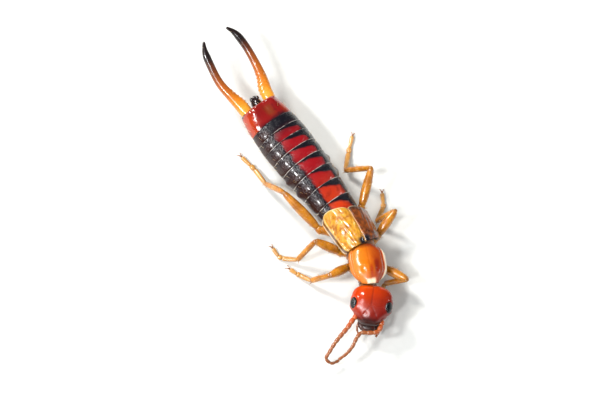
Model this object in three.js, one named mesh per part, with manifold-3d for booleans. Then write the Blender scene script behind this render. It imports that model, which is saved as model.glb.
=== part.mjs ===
// A short-winged earwig, life size, standing on six feet with its forceps raised.
// Millimetres, +Z up. The body lies along Y with the head at the low end, and +X is the animal's left.
// The floor is z = 0, and the origin is the middle of the footprint of the whole animal.

import * as THREE from 'three';
import { mergeVertices } from 'three/addons/utils/BufferGeometryUtils.js';
import Module from 'manifold-3d';

const wasm = await Module();
wasm.setup();

// Gaps between one piece and the next
const GAP = 0.2;
const FINE_GAP = 0.1;

// Bend of the body: straight behind the first abdominal ring, then an arc towards the animal's right
const BEND_RADIUS = 5.0;
const BEND_LENGTH = 3.6;

// Abdomen, measured back from its front face
const ABDOMEN_LENGTH = 4.72;
const TERGITE_MARGINS = [0.62, 1.38, 2.08, 2.75, 3.36, 3.92, 4.4];
const TERGITE_STEP = 0.045;
const SIDE_KNOBS = [1.74, 2.42];
const TERGITE_SLOPE = 0.03;
const ABDOMEN_POWER = 2.3;
const UNDERSIDE_INSET = 0.93;

// Last tergite, the broad ring that carries the forceps
const LAST_TERGITE_FRONT = ABDOMEN_LENGTH + GAP;
const LAST_TERGITE_REAR = 5.9;
const LAST_TERGITE_SWELL = 0.1;

// Thorax and neck, measured forward from the front face of the abdomen
const THORAX_FRONT = 2.95;
const THORAX_HALF_WIDTH = 0.66;
const THORAX_TOP = 1.42;
const THORAX_BOTTOM = 0.5;
const NECK_RADIUS = 0.36;

// Plates of the back
const TEGMEN_LENGTH = 1.66;
const TEGMEN_SPAN_LEFT = 0.86;
const TEGMEN_SPAN_RIGHT = 0.97;
const TEGMEN_DROP = 0.56;
const TEGMEN_SKEW_LEFT = -0.28;
const TEGMEN_SKEW_RIGHT = 0.26;
const TEGMEN_FLARE = 0.08;
const TEGMEN_TOP = 2.04;
const PRONOTUM_LENGTH = 1.46;
const PRONOTUM_HALF_WIDTH = 0.79;
const PRONOTUM_TOP = 1.94;
const PLATE_UNDERSIDE = 1.34;

// Head
const HEAD_CENTRE = [-1.57, -3.96, 1.29];
const HEAD_YAW = 46;
const HEAD_PITCH = 15;
const HEAD_ROLL = 8;
const HEAD_HALF_LENGTH = 0.88;
const HEAD_HALF_WIDTH = 0.88;
const HEAD_HALF_HEIGHT = 0.5;
const EYE_HALF = [0.22, 0.3, 0.25];
const EYE_AT = [0.67, 0.01, 0.15];
const EYE_GAP = 0.07;

// Feet: how far the sole is cut into the round of each tarsus
const SOLE_CUT = 0.06;

const rad = THREE.MathUtils.degToRad;
const vec = (x, y, z) => new THREE.Vector3(x, y, z);
const power = (value, exponent) => Math.sign(value) * Math.abs(value) ** exponent;
const smooth = (value, from, to) => THREE.MathUtils.smoothstep(value, from, to);
const mix = THREE.MathUtils.lerp;

// Closed meshes and the solids made of them

function weld(geometry) {
  const bare = new THREE.BufferGeometry();
  bare.setAttribute('position', geometry.attributes.position.clone());
  if (geometry.index) bare.setIndex(geometry.index.clone());
  const merged = mergeVertices(bare, 1e-5);
  const corners = merged.index.array;
  const kept = [];
  for (let i = 0; i < corners.length; i += 3) {
    const [a, b, c] = [corners[i], corners[i + 1], corners[i + 2]];
    if (a !== b && b !== c && c !== a) kept.push(a, b, c);
  }
  merged.setIndex(kept);
  return faceOutwards(merged);
}

function faceOutwards(geometry) {
  const place = geometry.attributes.position;
  const corners = geometry.index.array;
  const [a, b, c] = [vec(), vec(), vec()];
  let volume = 0;
  for (let i = 0; i < corners.length; i += 3) {
    a.fromBufferAttribute(place, corners[i]);
    b.fromBufferAttribute(place, corners[i + 1]);
    c.fromBufferAttribute(place, corners[i + 2]);
    volume += a.dot(b.cross(c));
  }
  if (volume < 0) {
    for (let i = 0; i < corners.length; i += 3) {
      [corners[i + 1], corners[i + 2]] = [corners[i + 2], corners[i + 1]];
    }
  }
  return geometry;
}

function solid(geometry) {
  const welded = weld(geometry);
  return new wasm.Manifold(new wasm.Mesh({
    numProp: 3,
    vertProperties: new Float32Array(welded.attributes.position.array),
    triVerts: new Uint32Array(welded.index.array),
  }));
}

function largest(manifold) {
  const pieces = manifold.decompose();
  return pieces.reduce((best, piece) => (piece.volume() > best.volume() ? piece : best));
}

function geometryOf(manifold) {
  const mesh = largest(manifold).getMesh();
  const geometry = new THREE.BufferGeometry();
  geometry.setAttribute('position', new THREE.BufferAttribute(new Float32Array(mesh.vertProperties), 3));
  geometry.setIndex(new THREE.BufferAttribute(new Uint32Array(mesh.triVerts), 1));
  return geometry;
}

const join = (pieces) => pieces.reduce((whole, piece) => whole.add(piece));
const cut = (whole, ...others) => others.reduce((rest, other) => rest.subtract(other), whole);

// Shapes: each is a drum or a ball whose vertices are moved to their place by a function

function warp(geometry, move) {
  const place = geometry.attributes.position;
  const p = vec();
  for (let i = 0; i < place.count; i += 1) {
    p.fromBufferAttribute(place, i);
    p.copy(move(p));
    place.setXYZ(i, p.x, p.y, p.z);
  }
  return geometry;
}

// A drum with flat ends: place(ring, angle, radius) gives each vertex, radius 0 at an end's middle
function drum(rings, sides, place) {
  return warp(new THREE.CylinderGeometry(1, 1, 1, sides, rings), (p) => (
    place(Math.round(rings * (0.5 - p.y)), Math.atan2(p.z, p.x), Math.min(1, Math.hypot(p.x, p.z)))
  ));
}

// A ball: place(along, angle, round) with along from -1 to 1 and round the radius of that ring
function ball(sides, rings, place) {
  return warp(new THREE.SphereGeometry(1, sides, rings), (p) => (
    place(p.y, Math.atan2(p.z, p.x), Math.hypot(p.x, p.z))
  ));
}

function ellipsoid(centre, half, sides = 14, rings = 10) {
  const geometry = new THREE.SphereGeometry(1, sides, rings);
  return geometry.scale(...half).translate(...centre);
}

// A tube along a curve with rounded or pointed ends, its radius a function of the way along it
function limb(curve, rings, sides, radius) {
  const frames = curve.computeFrenetFrames(rings);
  return drum(rings, sides, (ring, angle, round) => {
    const t = ring / rings;
    const r = radius(t) * round;
    return curve.getPointAt(t)
      .addScaledVector(frames.normals[ring], r * Math.cos(angle))
      .addScaledVector(frames.binormals[ring], r * Math.sin(angle));
  });
}

// A straight bone of a leg, turned from a profile that starts and ends on its axis
function bone(from, to, radii, sides = 8) {
  const length = from.distanceTo(to);
  const steps = radii.length - 1;
  const start = radii[0];
  const end = radii[steps];
  const profile = [new THREE.Vector2(0, -start * 0.7)];
  profile.push(new THREE.Vector2(start * 0.7, -start * 0.5));
  radii.forEach((r, i) => profile.push(new THREE.Vector2(r, (length * i) / steps)));
  profile.push(new THREE.Vector2(end * 0.7, length + end * 0.5));
  profile.push(new THREE.Vector2(0, length + end * 0.7));
  const geometry = new THREE.LatheGeometry(profile, sides);
  const turn = new THREE.Quaternion().setFromUnitVectors(vec(0, 1, 0), to.clone().sub(from).normalize());
  return geometry.applyQuaternion(turn).translate(from.x, from.y, from.z);
}

// The bent middle line of the body: a point at a distance forward, a step to the left and a height
function headingAt(forward) {
  return THREE.MathUtils.clamp(forward, 0, BEND_LENGTH) / BEND_RADIUS;
}

function bodyPoint(forward, left, up) {
  const heading = headingAt(forward);
  const straight = forward - THREE.MathUtils.clamp(forward, 0, BEND_LENGTH);
  const x = -BEND_RADIUS * (1 - Math.cos(heading)) - straight * Math.sin(heading);
  const y = -BEND_RADIUS * Math.sin(heading) - straight * Math.cos(heading);
  return vec(x + left * Math.cos(heading), y - left * Math.sin(heading), up);
}

// A cross section of the body: a flattened round, wider above the side line than below it
function bodySection(angle, halfWidth, top, bottom, exponent, inset = 1) {
  const sideLine = mix(bottom, top, 0.45);
  const across = power(Math.cos(angle), 2 / exponent) * halfWidth;
  const rise = power(Math.sin(angle), 2 / exponent);
  const left = Math.sin(angle) < -0.01 ? across * inset : across;
  const up = sideLine + (rise > 0 ? rise * (top - sideLine) : rise * (sideLine - bottom));
  return [left, up];
}

const towards = (section, round, sideLine) => [section[0] * round, sideLine + (section[1] - sideLine) * round];

// Abdomen: overlapping rings, each a little wider at its rear margin

const ABDOMEN_WIDTHS = new THREE.CatmullRomCurve3([
  vec(0, 0.8, 0), vec(1, 0.93, 0), vec(2, 1.02, 0), vec(3, 1.1, 0), vec(4, 1.13, 0), vec(5, 1.05, 0), vec(5.9, 0.88, 0),
]);

function abdomenSize(back) {
  const halfWidth = ABDOMEN_WIDTHS.getPoint(THREE.MathUtils.clamp(back / 6, 0, 1)).y;
  const top = mix(1.42, 1.9, smooth(back, -0.2, 2.4)) - 0.12 * smooth(back, 4.4, 5.9);
  const bottom = mix(0.55, 0.42, smooth(back, 0, 1.5)) + 0.16 * smooth(back, 4.2, 5.9);
  return { halfWidth, top, bottom };
}

function abdomenStations() {
  const stations = [0, 0.12];
  for (const margin of TERGITE_MARGINS) {
    const before = stations.at(-1);
    stations.push((before + margin) / 2, margin, margin + TERGITE_SLOPE);
  }
  stations.push(ABDOMEN_LENGTH - 0.12, ABDOMEN_LENGTH);
  return stations;
}

// How proud a ring stands: nothing at its front, the whole step at its rear margin
function tergiteRise(back) {
  const margins = [0, ...TERGITE_MARGINS, ABDOMEN_LENGTH + 0.2];
  const next = margins.findIndex((margin) => margin >= back - 1e-6);
  const from = margins[Math.max(0, next - 1)];
  const share = (back - from) / (margins[Math.max(1, next)] - from);
  return TERGITE_STEP * (smooth(share, 0, 0.9) - 0.5);
}

function ringed(stations, grow, rise) {
  const sides = 28;
  return drum(stations.length - 1, sides, (ring, angle, round) => {
    const back = stations[ring];
    const size = abdomenSize(back);
    const proud = grow + rise(back);
    const end = ring === 0 || ring === stations.length - 1 ? 0.96 : 1;
    const sideLine = mix(size.bottom, size.top, 0.45);
    const section = bodySection(angle, size.halfWidth + proud, size.top + proud, size.bottom - proud,
      ABDOMEN_POWER, UNDERSIDE_INSET);
    const [left, up] = towards(section, round * end, sideLine);
    return vec(left, back, up);
  });
}

// The low knobs on the sides of the third and fourth rings
const knobs = SIDE_KNOBS.flatMap((back) => [-1, 1].map((side) => {
  const size = abdomenSize(back);
  const at = [side * (size.halfWidth - 0.02), back, mix(size.bottom, size.top, 0.56)];
  return solid(ellipsoid(at, [0.12, 0.17, 0.13], 10, 6));
}));
const abdomen = join([solid(ringed(abdomenStations(), 0, tergiteRise)), ...knobs]);
const abdomenGrown = solid(ringed([-GAP, 1, 2, 3, 4, ABDOMEN_LENGTH + GAP], GAP, () => TERGITE_STEP / 2));

// Last tergite, with a swelling over each root of the forceps

const lastTergiteStations = [0, 0.1, 0.3, 0.5, 0.7, 0.86, 0.98].map((step) => LAST_TERGITE_FRONT + step);
const lastTergite = solid(drum(lastTergiteStations.length - 1, 28, (ring, angle, round) => {
  const back = lastTergiteStations[ring];
  const size = abdomenSize(back);
  const share = ring / (lastTergiteStations.length - 1);
  const end = 1 - 0.04 * (ring === 0) - 0.07 * (share === 1);
  const sideLine = mix(size.bottom, size.top, 0.45);
  const [left, up] = towards(bodySection(angle, size.halfWidth, size.top, size.bottom, 2.6, 0.96),
    round * end, sideLine);
  const swell = LAST_TERGITE_SWELL * Math.exp(-(((Math.abs(left) - 0.5) / 0.25) ** 2)) * smooth(share, 0.3, 0.8);
  return vec(left, back, up + (Math.sin(angle) > 0 ? swell : 0) * round);
}));

// Thorax and neck

function thoraxSize(forward) {
  const taper = smooth(forward, THORAX_FRONT - 0.9, THORAX_FRONT + 0.2);
  return {
    halfWidth: THORAX_HALF_WIDTH * (1 - 0.28 * taper),
    top: THORAX_TOP - 0.04 * taper,
    bottom: THORAX_BOTTOM + 0.15 * taper,
  };
}

function trunk(stations, grow, sides) {
  return drum(stations.length - 1, sides, (ring, angle, round) => {
    const forward = stations[ring];
    const size = thoraxSize(forward);
    const section = bodySection(angle, size.halfWidth + grow, size.top + grow, size.bottom - grow, 2.3);
    const [left, up] = towards(section, round, mix(size.bottom, size.top, 0.45));
    return bodyPoint(forward, left, up);
  });
}

const thorax = solid(trunk([GAP, 0.6, 1.0, 1.4, 1.8, 2.2, 2.6, THORAX_FRONT], 0, 20));
const thoraxGrown = solid(trunk([0, 0.5, 1, 1.5, 2, 2.5, THORAX_FRONT + GAP], GAP, 20));

// Plates of the back: a grid domed over the thorax, its underside cut to the thorax's own form

function plate(acrossSteps, alongSteps, place) {
  return warp(new THREE.BoxGeometry(2, 2, 2, acrossSteps, alongSteps, 1), (p) => place(p.x, p.y, p.z));
}

// Places a flat form on the body's middle line, turned to the heading there
function onBody(geometry, forward) {
  const at = bodyPoint(forward, 0, 0);
  return geometry.rotateZ(-headingAt(forward)).translate(at.x, at.y, 0);
}

const TEGMEN_MIDDLE = TEGMEN_LENGTH / 2 - 0.03;

function tegmen(side) {
  const inner = GAP / 2;
  const span = side > 0 ? TEGMEN_SPAN_LEFT : TEGMEN_SPAN_RIGHT;
  const width = span - inner;
  const skew = side > 0 ? TEGMEN_SKEW_LEFT : TEGMEN_SKEW_RIGHT;
  const form = plate(8, 10, (u, v, w) => {
    const share = (u + 1) / 2;
    const rounding = 1 - 0.12 * Math.max(0, v) ** 8 - 0.1 * Math.max(0, -v) ** 8;
    const out = inner + width * share * rounding * (1 + TEGMEN_FLARE * v);
    const rear = skew * share - 0.1 * (2 * share - 1) ** 4;
    const back = (v * TEGMEN_LENGTH) / 2 + rear * Math.max(0, v) ** 2;
    const dome = TEGMEN_DROP * (out / span) ** 2.8;
    const shoulders = 0.1 * Math.abs(v) ** 4;
    const top = TEGMEN_TOP - dome - shoulders;
    return vec(side * out, back, w > 0 ? top : PLATE_UNDERSIDE);
  });
  return cut(solid(onBody(form, TEGMEN_MIDDLE)), thoraxGrown, abdomenGrown);
}

const PRONOTUM_MIDDLE = TEGMEN_LENGTH + GAP + PRONOTUM_LENGTH / 2 - 0.06;

const pronotumForm = plate(12, 10, (u, v, w) => {
  const rounding = 1 - 0.22 * Math.max(0, v) ** 4 - 0.46 * Math.max(0, -v) ** 3;
  const out = PRONOTUM_HALF_WIDTH * u * rounding;
  const rearBow = 0.12 * (1 - u * u) * Math.max(0, v);
  const back = (v * PRONOTUM_LENGTH) / 2 + rearBow - 0.06;
  const crown = (1 - Math.abs(u) ** 2.6) * 0.36;
  const groove = 0.035 * Math.exp(-((u / 0.12) ** 2));
  const frontHump = 0.06 * Math.exp(-(((v + 0.35) / 0.4) ** 2)) * (1 - u * u);
  const top = PRONOTUM_TOP - 0.36 + crown - groove + frontHump - 0.08 * Math.abs(v) ** 4;
  return vec(out, back, w > 0 ? top : PLATE_UNDERSIDE + 0.04);
});
const pronotumWhole = cut(solid(onBody(pronotumForm, PRONOTUM_MIDDLE)), thoraxGrown);

// Head: made facing along -Y at the origin, then turned and pitched to its place

const headPlace = new THREE.Matrix4().compose(
  vec(...HEAD_CENTRE),
  new THREE.Quaternion().setFromEuler(new THREE.Euler(rad(HEAD_PITCH), rad(-HEAD_ROLL), rad(-HEAD_YAW), 'ZYX')),
  vec(1, 1, 1),
);

// Half the head's width at a place from -1 in front to 1 behind, as a share of the widest
function headBreadth(along) {
  const rear = (1 - Math.max(0, along) ** 4.2) ** 0.5;
  const front = (1 - Math.max(0, -along) ** 6) ** 0.5;
  return rear * front * (1 - 0.42 * smooth(-along, 0.1, 0.8));
}

function headForm(grow) {
  return ball(28, 20, (along, angle, round) => {
    const breadth = round < 1e-6 ? 0 : headBreadth(along);
    const depth = round < 1e-6 ? 0 : (1 - Math.abs(along) ** 2.6) ** 0.5;
    const left = power(Math.cos(angle), 0.86) * (HEAD_HALF_WIDTH * breadth + grow * round);
    const up = power(Math.sin(angle), 0.92) * (HEAD_HALF_HEIGHT * depth + grow * round);
    const suture = 0.03 * Math.exp(-((left / 0.05) ** 2)) * smooth(along, -0.1, 0.2) * (up > 0 ? 1 : 0);
    return vec(left, along * (HEAD_HALF_LENGTH + grow), up - (grow ? 0 : suture));
  });
}

const eyeForm = (side, grow) => {
  const half = EYE_HALF.map((size) => size + grow);
  return solid(ellipsoid([side * EYE_AT[0], EYE_AT[1], EYE_AT[2]], half, 14, 10));
};
const headSkull = cut(solid(headForm(0)), eyeForm(1, EYE_GAP), eyeForm(-1, EYE_GAP));
const headFine = solid(headForm(FINE_GAP));
const headGrown = solid(headForm(GAP));

const labrumForm = (grow) => solid(ellipsoid([0, -0.93, -0.12], [0.3 + grow, 0.2 + grow, 0.17 + grow], 14, 8));
const jawForms = [-1, 1].map((side) => solid(ellipsoid([side * 0.15, -0.8, -0.36], [0.24, 0.26, 0.15], 12, 8)));

function palp(side) {
  const curve = new THREE.CatmullRomCurve3([
    vec(side * 0.3, -0.5, -0.4),
    vec(side * 0.44, -0.74, -0.55),
    vec(side * 0.46, -1.0, -0.5),
    vec(side * 0.36, -1.22, -0.42),
  ]);
  return solid(limb(curve, 12, 8, (t) => 0.11 * (1 - 0.25 * t) * (1 - 0.2 * Math.cos(8 * Math.PI * t) ** 8)));
}

const placed = (manifold) => manifold.transform(headPlace.elements);
const headGrownWorld = placed(headGrown);

const pronotum = cut(pronotumWhole, headGrownWorld);
const labrum = cut(labrumForm(0), headFine);
const jaws = cut(join(jawForms), headFine, labrumForm(FINE_GAP));

// The neck runs from the front of the thorax into the back of the head, and is cut to both
const neckCurve = new THREE.LineCurve3(bodyPoint(THORAX_FRONT, 0, 1.08), vec(...HEAD_CENTRE));
const neckFolds = (t) => NECK_RADIUS * (1 - 0.07 * Math.cos(t * 20));
const neck = cut(solid(limb(neckCurve, 12, 16, neckFolds)), headGrownWorld, thoraxGrown);

const palps = {
  left: cut(palp(1), headFine, labrumForm(FINE_GAP), ...jawForms),
  right: cut(palp(-1), headFine, labrumForm(FINE_GAP), ...jawForms),
};

// Antennae: a thick first joint, then eleven short ones, each a little wider at its far end

const ANTENNA_JOINTS = 12;
const ANTENNA_THICKNESS = 0.46;
const ANTENNA_TIP = 0.24;

function antenna(points) {
  const curve = new THREE.CatmullRomCurve3(points.map((p) => vec(...p)), false, 'centripetal');
  const ringsPerJoint = 3;
  const radius = (t) => {
    const joint = t * ANTENNA_JOINTS;
    const share = joint - Math.floor(joint + 1e-6);
    const club = 0.82 + 0.18 * Math.sin(Math.PI * Math.min(1, share + 0.12));
    const end = t > 0.999 ? 0.5 : 1;
    return 0.5 * mix(ANTENNA_THICKNESS, ANTENNA_TIP, t) * club * end;
  };
  return cut(solid(limb(curve, ANTENNA_JOINTS * ringsPerJoint, 8, radius)), headGrownWorld);
}

const antennaRight = antenna([
  [-2.2, -3.9, 1.15], [-2.57, -3.99, 1.12], [-2.95, -4.13, 1.1], [-3.34, -4.23, 1.05], [-3.77, -4.35, 0.95],
  [-4.12, -4.49, 0.8], [-4.36, -4.61, 0.6], [-4.24, -4.86, 0.42], [-3.83, -4.93, 0.3],
]);
const antennaLeft = antenna([
  [-1.42, -4.42, 1.2], [-1.64, -4.8, 1.17], [-2.03, -5.01, 1.2], [-2.38, -4.84, 1.2], [-2.65, -4.66, 1.2],
  [-2.91, -4.72, 1.2], [-3.31, -4.93, 1.15], [-3.7, -5.03, 1.1], [-4.14, -5.04, 1.05],
]);

// Pygidium and forceps

const pygidium = cut(
  solid(ellipsoid([0.03, LAST_TERGITE_REAR + 0.3, 1.25], [0.24, 0.42, 0.3], 14, 8)),
  solid(new THREE.BoxGeometry(4, 2, 4).translate(0, LAST_TERGITE_REAR + GAP - 1, 1)),
);

const FORCEPS_HALF = 0.25;
const FORCEPS_RINGS = 30;
const FORCEPS_TEETH = { 2: 0.12, 5: 0.1, 8: 0.07 };

// A blade starts flat on a plane across the body and carries low teeth on the inner side of its root
function forceps(side, points) {
  const curve = new THREE.CatmullRomCurve3(points.map((p) => vec(...p)), false, 'centripetal');
  const frames = curve.computeFrenetFrames(FORCEPS_RINGS);
  return solid(drum(FORCEPS_RINGS, 12, (ring, angle, round) => {
    const t = ring / FORCEPS_RINGS;
    const out = frames.normals[ring].clone().multiplyScalar(Math.cos(angle));
    out.addScaledVector(frames.binormals[ring], Math.sin(angle));
    const tooth = (FORCEPS_TEETH[ring] ?? 0) * Math.max(0, -side * out.x) ** 6;
    const radius = FORCEPS_HALF * mix(1, 0.7, smooth(t, -0.1, 0.67)) * (1 - 0.62 * smooth(t, 0.8, 1));
    out.y *= smooth(t, 0, 0.15);
    return curve.getPointAt(t).addScaledVector(out, (radius + tooth) * round);
  }));
}

const FORCEPS_ROOT = LAST_TERGITE_REAR + GAP;
const forcepsRight = forceps(-1, [
  [-0.585, FORCEPS_ROOT, 1.26], [-0.69, 6.9, 1.32], [-0.79, 7.65, 1.45], [-0.72, 8.41, 1.65],
  [-0.59, 9.06, 1.85], [-0.4, 9.46, 2.0],
]);
const forcepsLeft = forceps(1, [
  [0.685, FORCEPS_ROOT, 1.25], [0.96, 6.95, 1.32], [1.11, 7.78, 1.45], [1.13, 8.49, 1.65],
  [1.02, 9.1, 1.85], [0.8, 9.45, 2.0],
]);

// Legs: coxa, femur, tibia, three joints of the foot and two claws

const FEMUR_RADII = [0.2, 0.27, 0.28, 0.25, 0.21];
const TIBIA_RADII = [0.2, 0.22, 0.21, 0.2];
const FOOT_RADII = [[0.17, 0.18, 0.19], [0.18, 0.2, 0.19], [0.15, 0.17, 0.16]];
const FOOT_SHARES = [0, 0.5, 0.64, 1];

const LEGS = {
  front_left: {
    root: [2.45, 0.3, 0.75], hip: [0.1, -2.75, 0.8], knee: [0.5, -3.85, 1.15], ankle: [-0.06, -3.3, 0.32],
    foot: [-0.6, -3.5, 0.14], toe: [-1.15, -3.72, 0.13],
  },
  middle_left: {
    root: [1.5, 0.35, 0.7], hip: [0.8, -1.5, 0.8], knee: [1.92, -1.16, 1.4], ankle: [1.39, -0.85, 0.32],
    foot: [2.14, -0.43, 0.14], toe: [2.5, 0.12, 0.13],
  },
  hind_left: {
    root: [0.5, 0.35, 0.7], hip: [1.0, -0.12, 0.82], knee: [2.23, 0.94, 1.5], ankle: [1.7, 1.75, 0.32],
    foot: [2.56, 2.49, 0.14], toe: [3.07, 2.92, 0.13],
  },
  front_right: {
    root: [2.45, -0.3, 0.75], hip: [-1.12, -1.94, 0.85], knee: [-2.12, -1.85, 1.1], ankle: [-2.62, -1.42, 0.32],
    foot: [-2.82, -0.85, 0.14], toe: [-2.98, -0.42, 0.13],
  },
  middle_right: {
    root: [1.5, -0.35, 0.7], hip: [-1.0, -1.2, 0.82], knee: [-1.79, -0.34, 1.4], ankle: [-2.53, -0.34, 0.32],
    foot: [-3.0, 0.21, 0.14], toe: [-3.0, 0.75, 0.13],
  },
  hind_right: {
    root: [0.5, -0.35, 0.7], hip: [-1.1, 0.1, 0.82], knee: [-1.6, 2.16, 1.5], ankle: [-1.54, 3.17, 0.32],
    foot: [-1.44, 3.95, 0.14], toe: [-1.56, 4.83, 0.13],
  },
};

const aboveFloor = solid(new THREE.BoxGeometry(40, 40, 20).translate(0, 0, 10));

function claw(tip, ahead, aside) {
  const end = tip.clone().addScaledVector(ahead, 0.24).addScaledVector(aside, 0.12);
  const bend = tip.clone().addScaledVector(ahead, 0.16).addScaledVector(aside, 0.1);
  bend.z += 0.03;
  end.z = 0.05;
  const curve = new THREE.QuadraticBezierCurve3(tip, bend, end);
  return solid(limb(curve, 3, 6, (t) => mix(0.09, 0.03, t)));
}

function leg({ root, hip, knee, ankle, foot, toe }) {
  const joints = [bodyPoint(...root), vec(...hip), vec(...knee), vec(...ankle), vec(...foot), vec(...toe)];
  const [coxa, trochanter, kneeAt, ankleAt, footAt, toeAt] = joints;
  const pieces = [
    bone(coxa, trochanter, [0.26, 0.26, 0.22]),
    bone(trochanter, kneeAt, FEMUR_RADII),
    bone(kneeAt, ankleAt, TIBIA_RADII),
  ];
  const sole = new THREE.CatmullRomCurve3([ankleAt, footAt, toeAt], false, 'centripetal');
  FOOT_RADII.forEach((radii, i) => {
    const from = sole.getPointAt(FOOT_SHARES[i]);
    const to = sole.getPointAt(FOOT_SHARES[i + 1]);
    if (i > 0) from.z = radii[0] - SOLE_CUT;
    to.z = radii.at(-1) - SOLE_CUT;
    pieces.push(bone(from, to, radii));
  });
  const ahead = toeAt.clone().sub(footAt).setZ(0).normalize();
  const aside = vec(-ahead.y, ahead.x, 0);
  const tip = toeAt.clone().setZ(0.13);
  const claws = [-1, 1].map((side) => claw(tip, ahead, aside.clone().multiplyScalar(side)));
  const whole = join([...pieces.map(solid), ...claws]).intersect(aboveFloor);
  return cut(whole, thoraxGrown, abdomenGrown);
}

// Finishes

const finish = (colour, roughness, metalness = 0) => (
  new THREE.MeshStandardMaterial({ color: colour, roughness, metalness })
);
const finishes = {
  head: finish(0xa83a16, 0.25),
  mouth: finish(0x3a1a10, 0.35),
  eye: finish(0x0a090a, 0.12),
  antenna: finish(0x8a4a24, 0.45),
  neck: finish(0x6a4426, 0.5),
  pronotum: finish(0xb0641e, 0.3),
  thorax: finish(0x5a3018, 0.45),
  tegmen: finish(0xa8701f, 0.35),
  abdomen: finish(0x30100e, 0.25),
  tail: finish(0x5a1a10, 0.25),
  forceps: finish(0xa85a1c, 0.3),
  leg: finish(0xc08a42, 0.4),
};

// Assembly

const animal = new THREE.Group();

function add(name, manifold, material, parent = animal) {
  const mesh = new THREE.Mesh(geometryOf(manifold), material);
  mesh.name = name;
  parent.add(mesh);
}

const headGroup = new THREE.Group();
headPlace.decompose(headGroup.position, headGroup.quaternion, headGroup.scale);
animal.add(headGroup);

add('head', headSkull, finishes.head, headGroup);
add('labrum', labrum, finishes.mouth, headGroup);
add('jaws', jaws, finishes.mouth, headGroup);
add('eye_left', eyeForm(1, 0), finishes.eye, headGroup);
add('eye_right', eyeForm(-1, 0), finishes.eye, headGroup);
add('palp_left', palps.left, finishes.antenna, headGroup);
add('palp_right', palps.right, finishes.antenna, headGroup);
add('antenna_left', antennaLeft, finishes.antenna);
add('antenna_right', antennaRight, finishes.antenna);
add('neck', neck, finishes.neck);
add('pronotum', pronotum, finishes.pronotum);
add('thorax', thorax, finishes.thorax);
add('tegmen_left', tegmen(1), finishes.tegmen);
add('tegmen_right', tegmen(-1), finishes.tegmen);
add('abdomen', abdomen, finishes.abdomen);
add('last_tergite', lastTergite, finishes.tail);
add('pygidium', pygidium, finishes.tail);
add('forceps_left', forcepsLeft, finishes.forceps);
add('forceps_right', forcepsRight, finishes.forceps);
for (const [name, pose] of Object.entries(LEGS)) {
  add(`leg_${name}`, leg(pose), finishes.leg);
}

// The origin is the middle of the footprint, on the floor
animal.updateMatrixWorld(true);
const reach = new THREE.Box3().setFromObject(animal, true);
const middle = reach.getCenter(vec(0, 0, 0));
animal.position.set(-middle.x, -middle.y, -reach.min.z);

const earwig = new THREE.Group();
earwig.add(animal);

export default earwig;
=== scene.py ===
import logging
import math
from dataclasses import dataclass, field
from enum import Enum
from typing import Callable, Sequence

import bpy
import numpy as np
from mathutils import Matrix, Vector


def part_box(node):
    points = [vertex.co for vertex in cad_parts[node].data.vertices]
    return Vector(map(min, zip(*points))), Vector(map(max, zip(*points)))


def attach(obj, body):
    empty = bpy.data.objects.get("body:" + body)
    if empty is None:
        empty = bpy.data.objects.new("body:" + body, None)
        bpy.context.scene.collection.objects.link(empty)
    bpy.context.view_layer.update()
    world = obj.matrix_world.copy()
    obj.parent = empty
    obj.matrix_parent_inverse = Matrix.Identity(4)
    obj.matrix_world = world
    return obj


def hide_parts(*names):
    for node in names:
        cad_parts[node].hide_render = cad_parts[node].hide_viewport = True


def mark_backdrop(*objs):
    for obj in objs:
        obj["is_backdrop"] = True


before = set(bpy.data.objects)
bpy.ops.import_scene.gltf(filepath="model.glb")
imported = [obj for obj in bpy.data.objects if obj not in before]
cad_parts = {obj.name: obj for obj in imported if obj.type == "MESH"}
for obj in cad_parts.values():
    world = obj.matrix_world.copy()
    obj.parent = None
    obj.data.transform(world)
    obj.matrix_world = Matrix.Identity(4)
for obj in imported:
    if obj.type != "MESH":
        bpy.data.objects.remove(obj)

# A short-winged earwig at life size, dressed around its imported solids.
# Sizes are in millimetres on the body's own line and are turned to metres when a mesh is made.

log = logging.getLogger("earwig")

MM = 0.001
ROOT = "root"
ROOT_PATCH = 0.003
Array = np.ndarray


class Side(Enum):
    """The two sides of the animal, with the sign of their x."""

    LEFT = 1
    RIGHT = -1

    @property
    def word(self) -> str:
        """The side's name as it stands in piece names."""
        return self.name.lower()


# Shader and geometry node graphs


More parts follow.
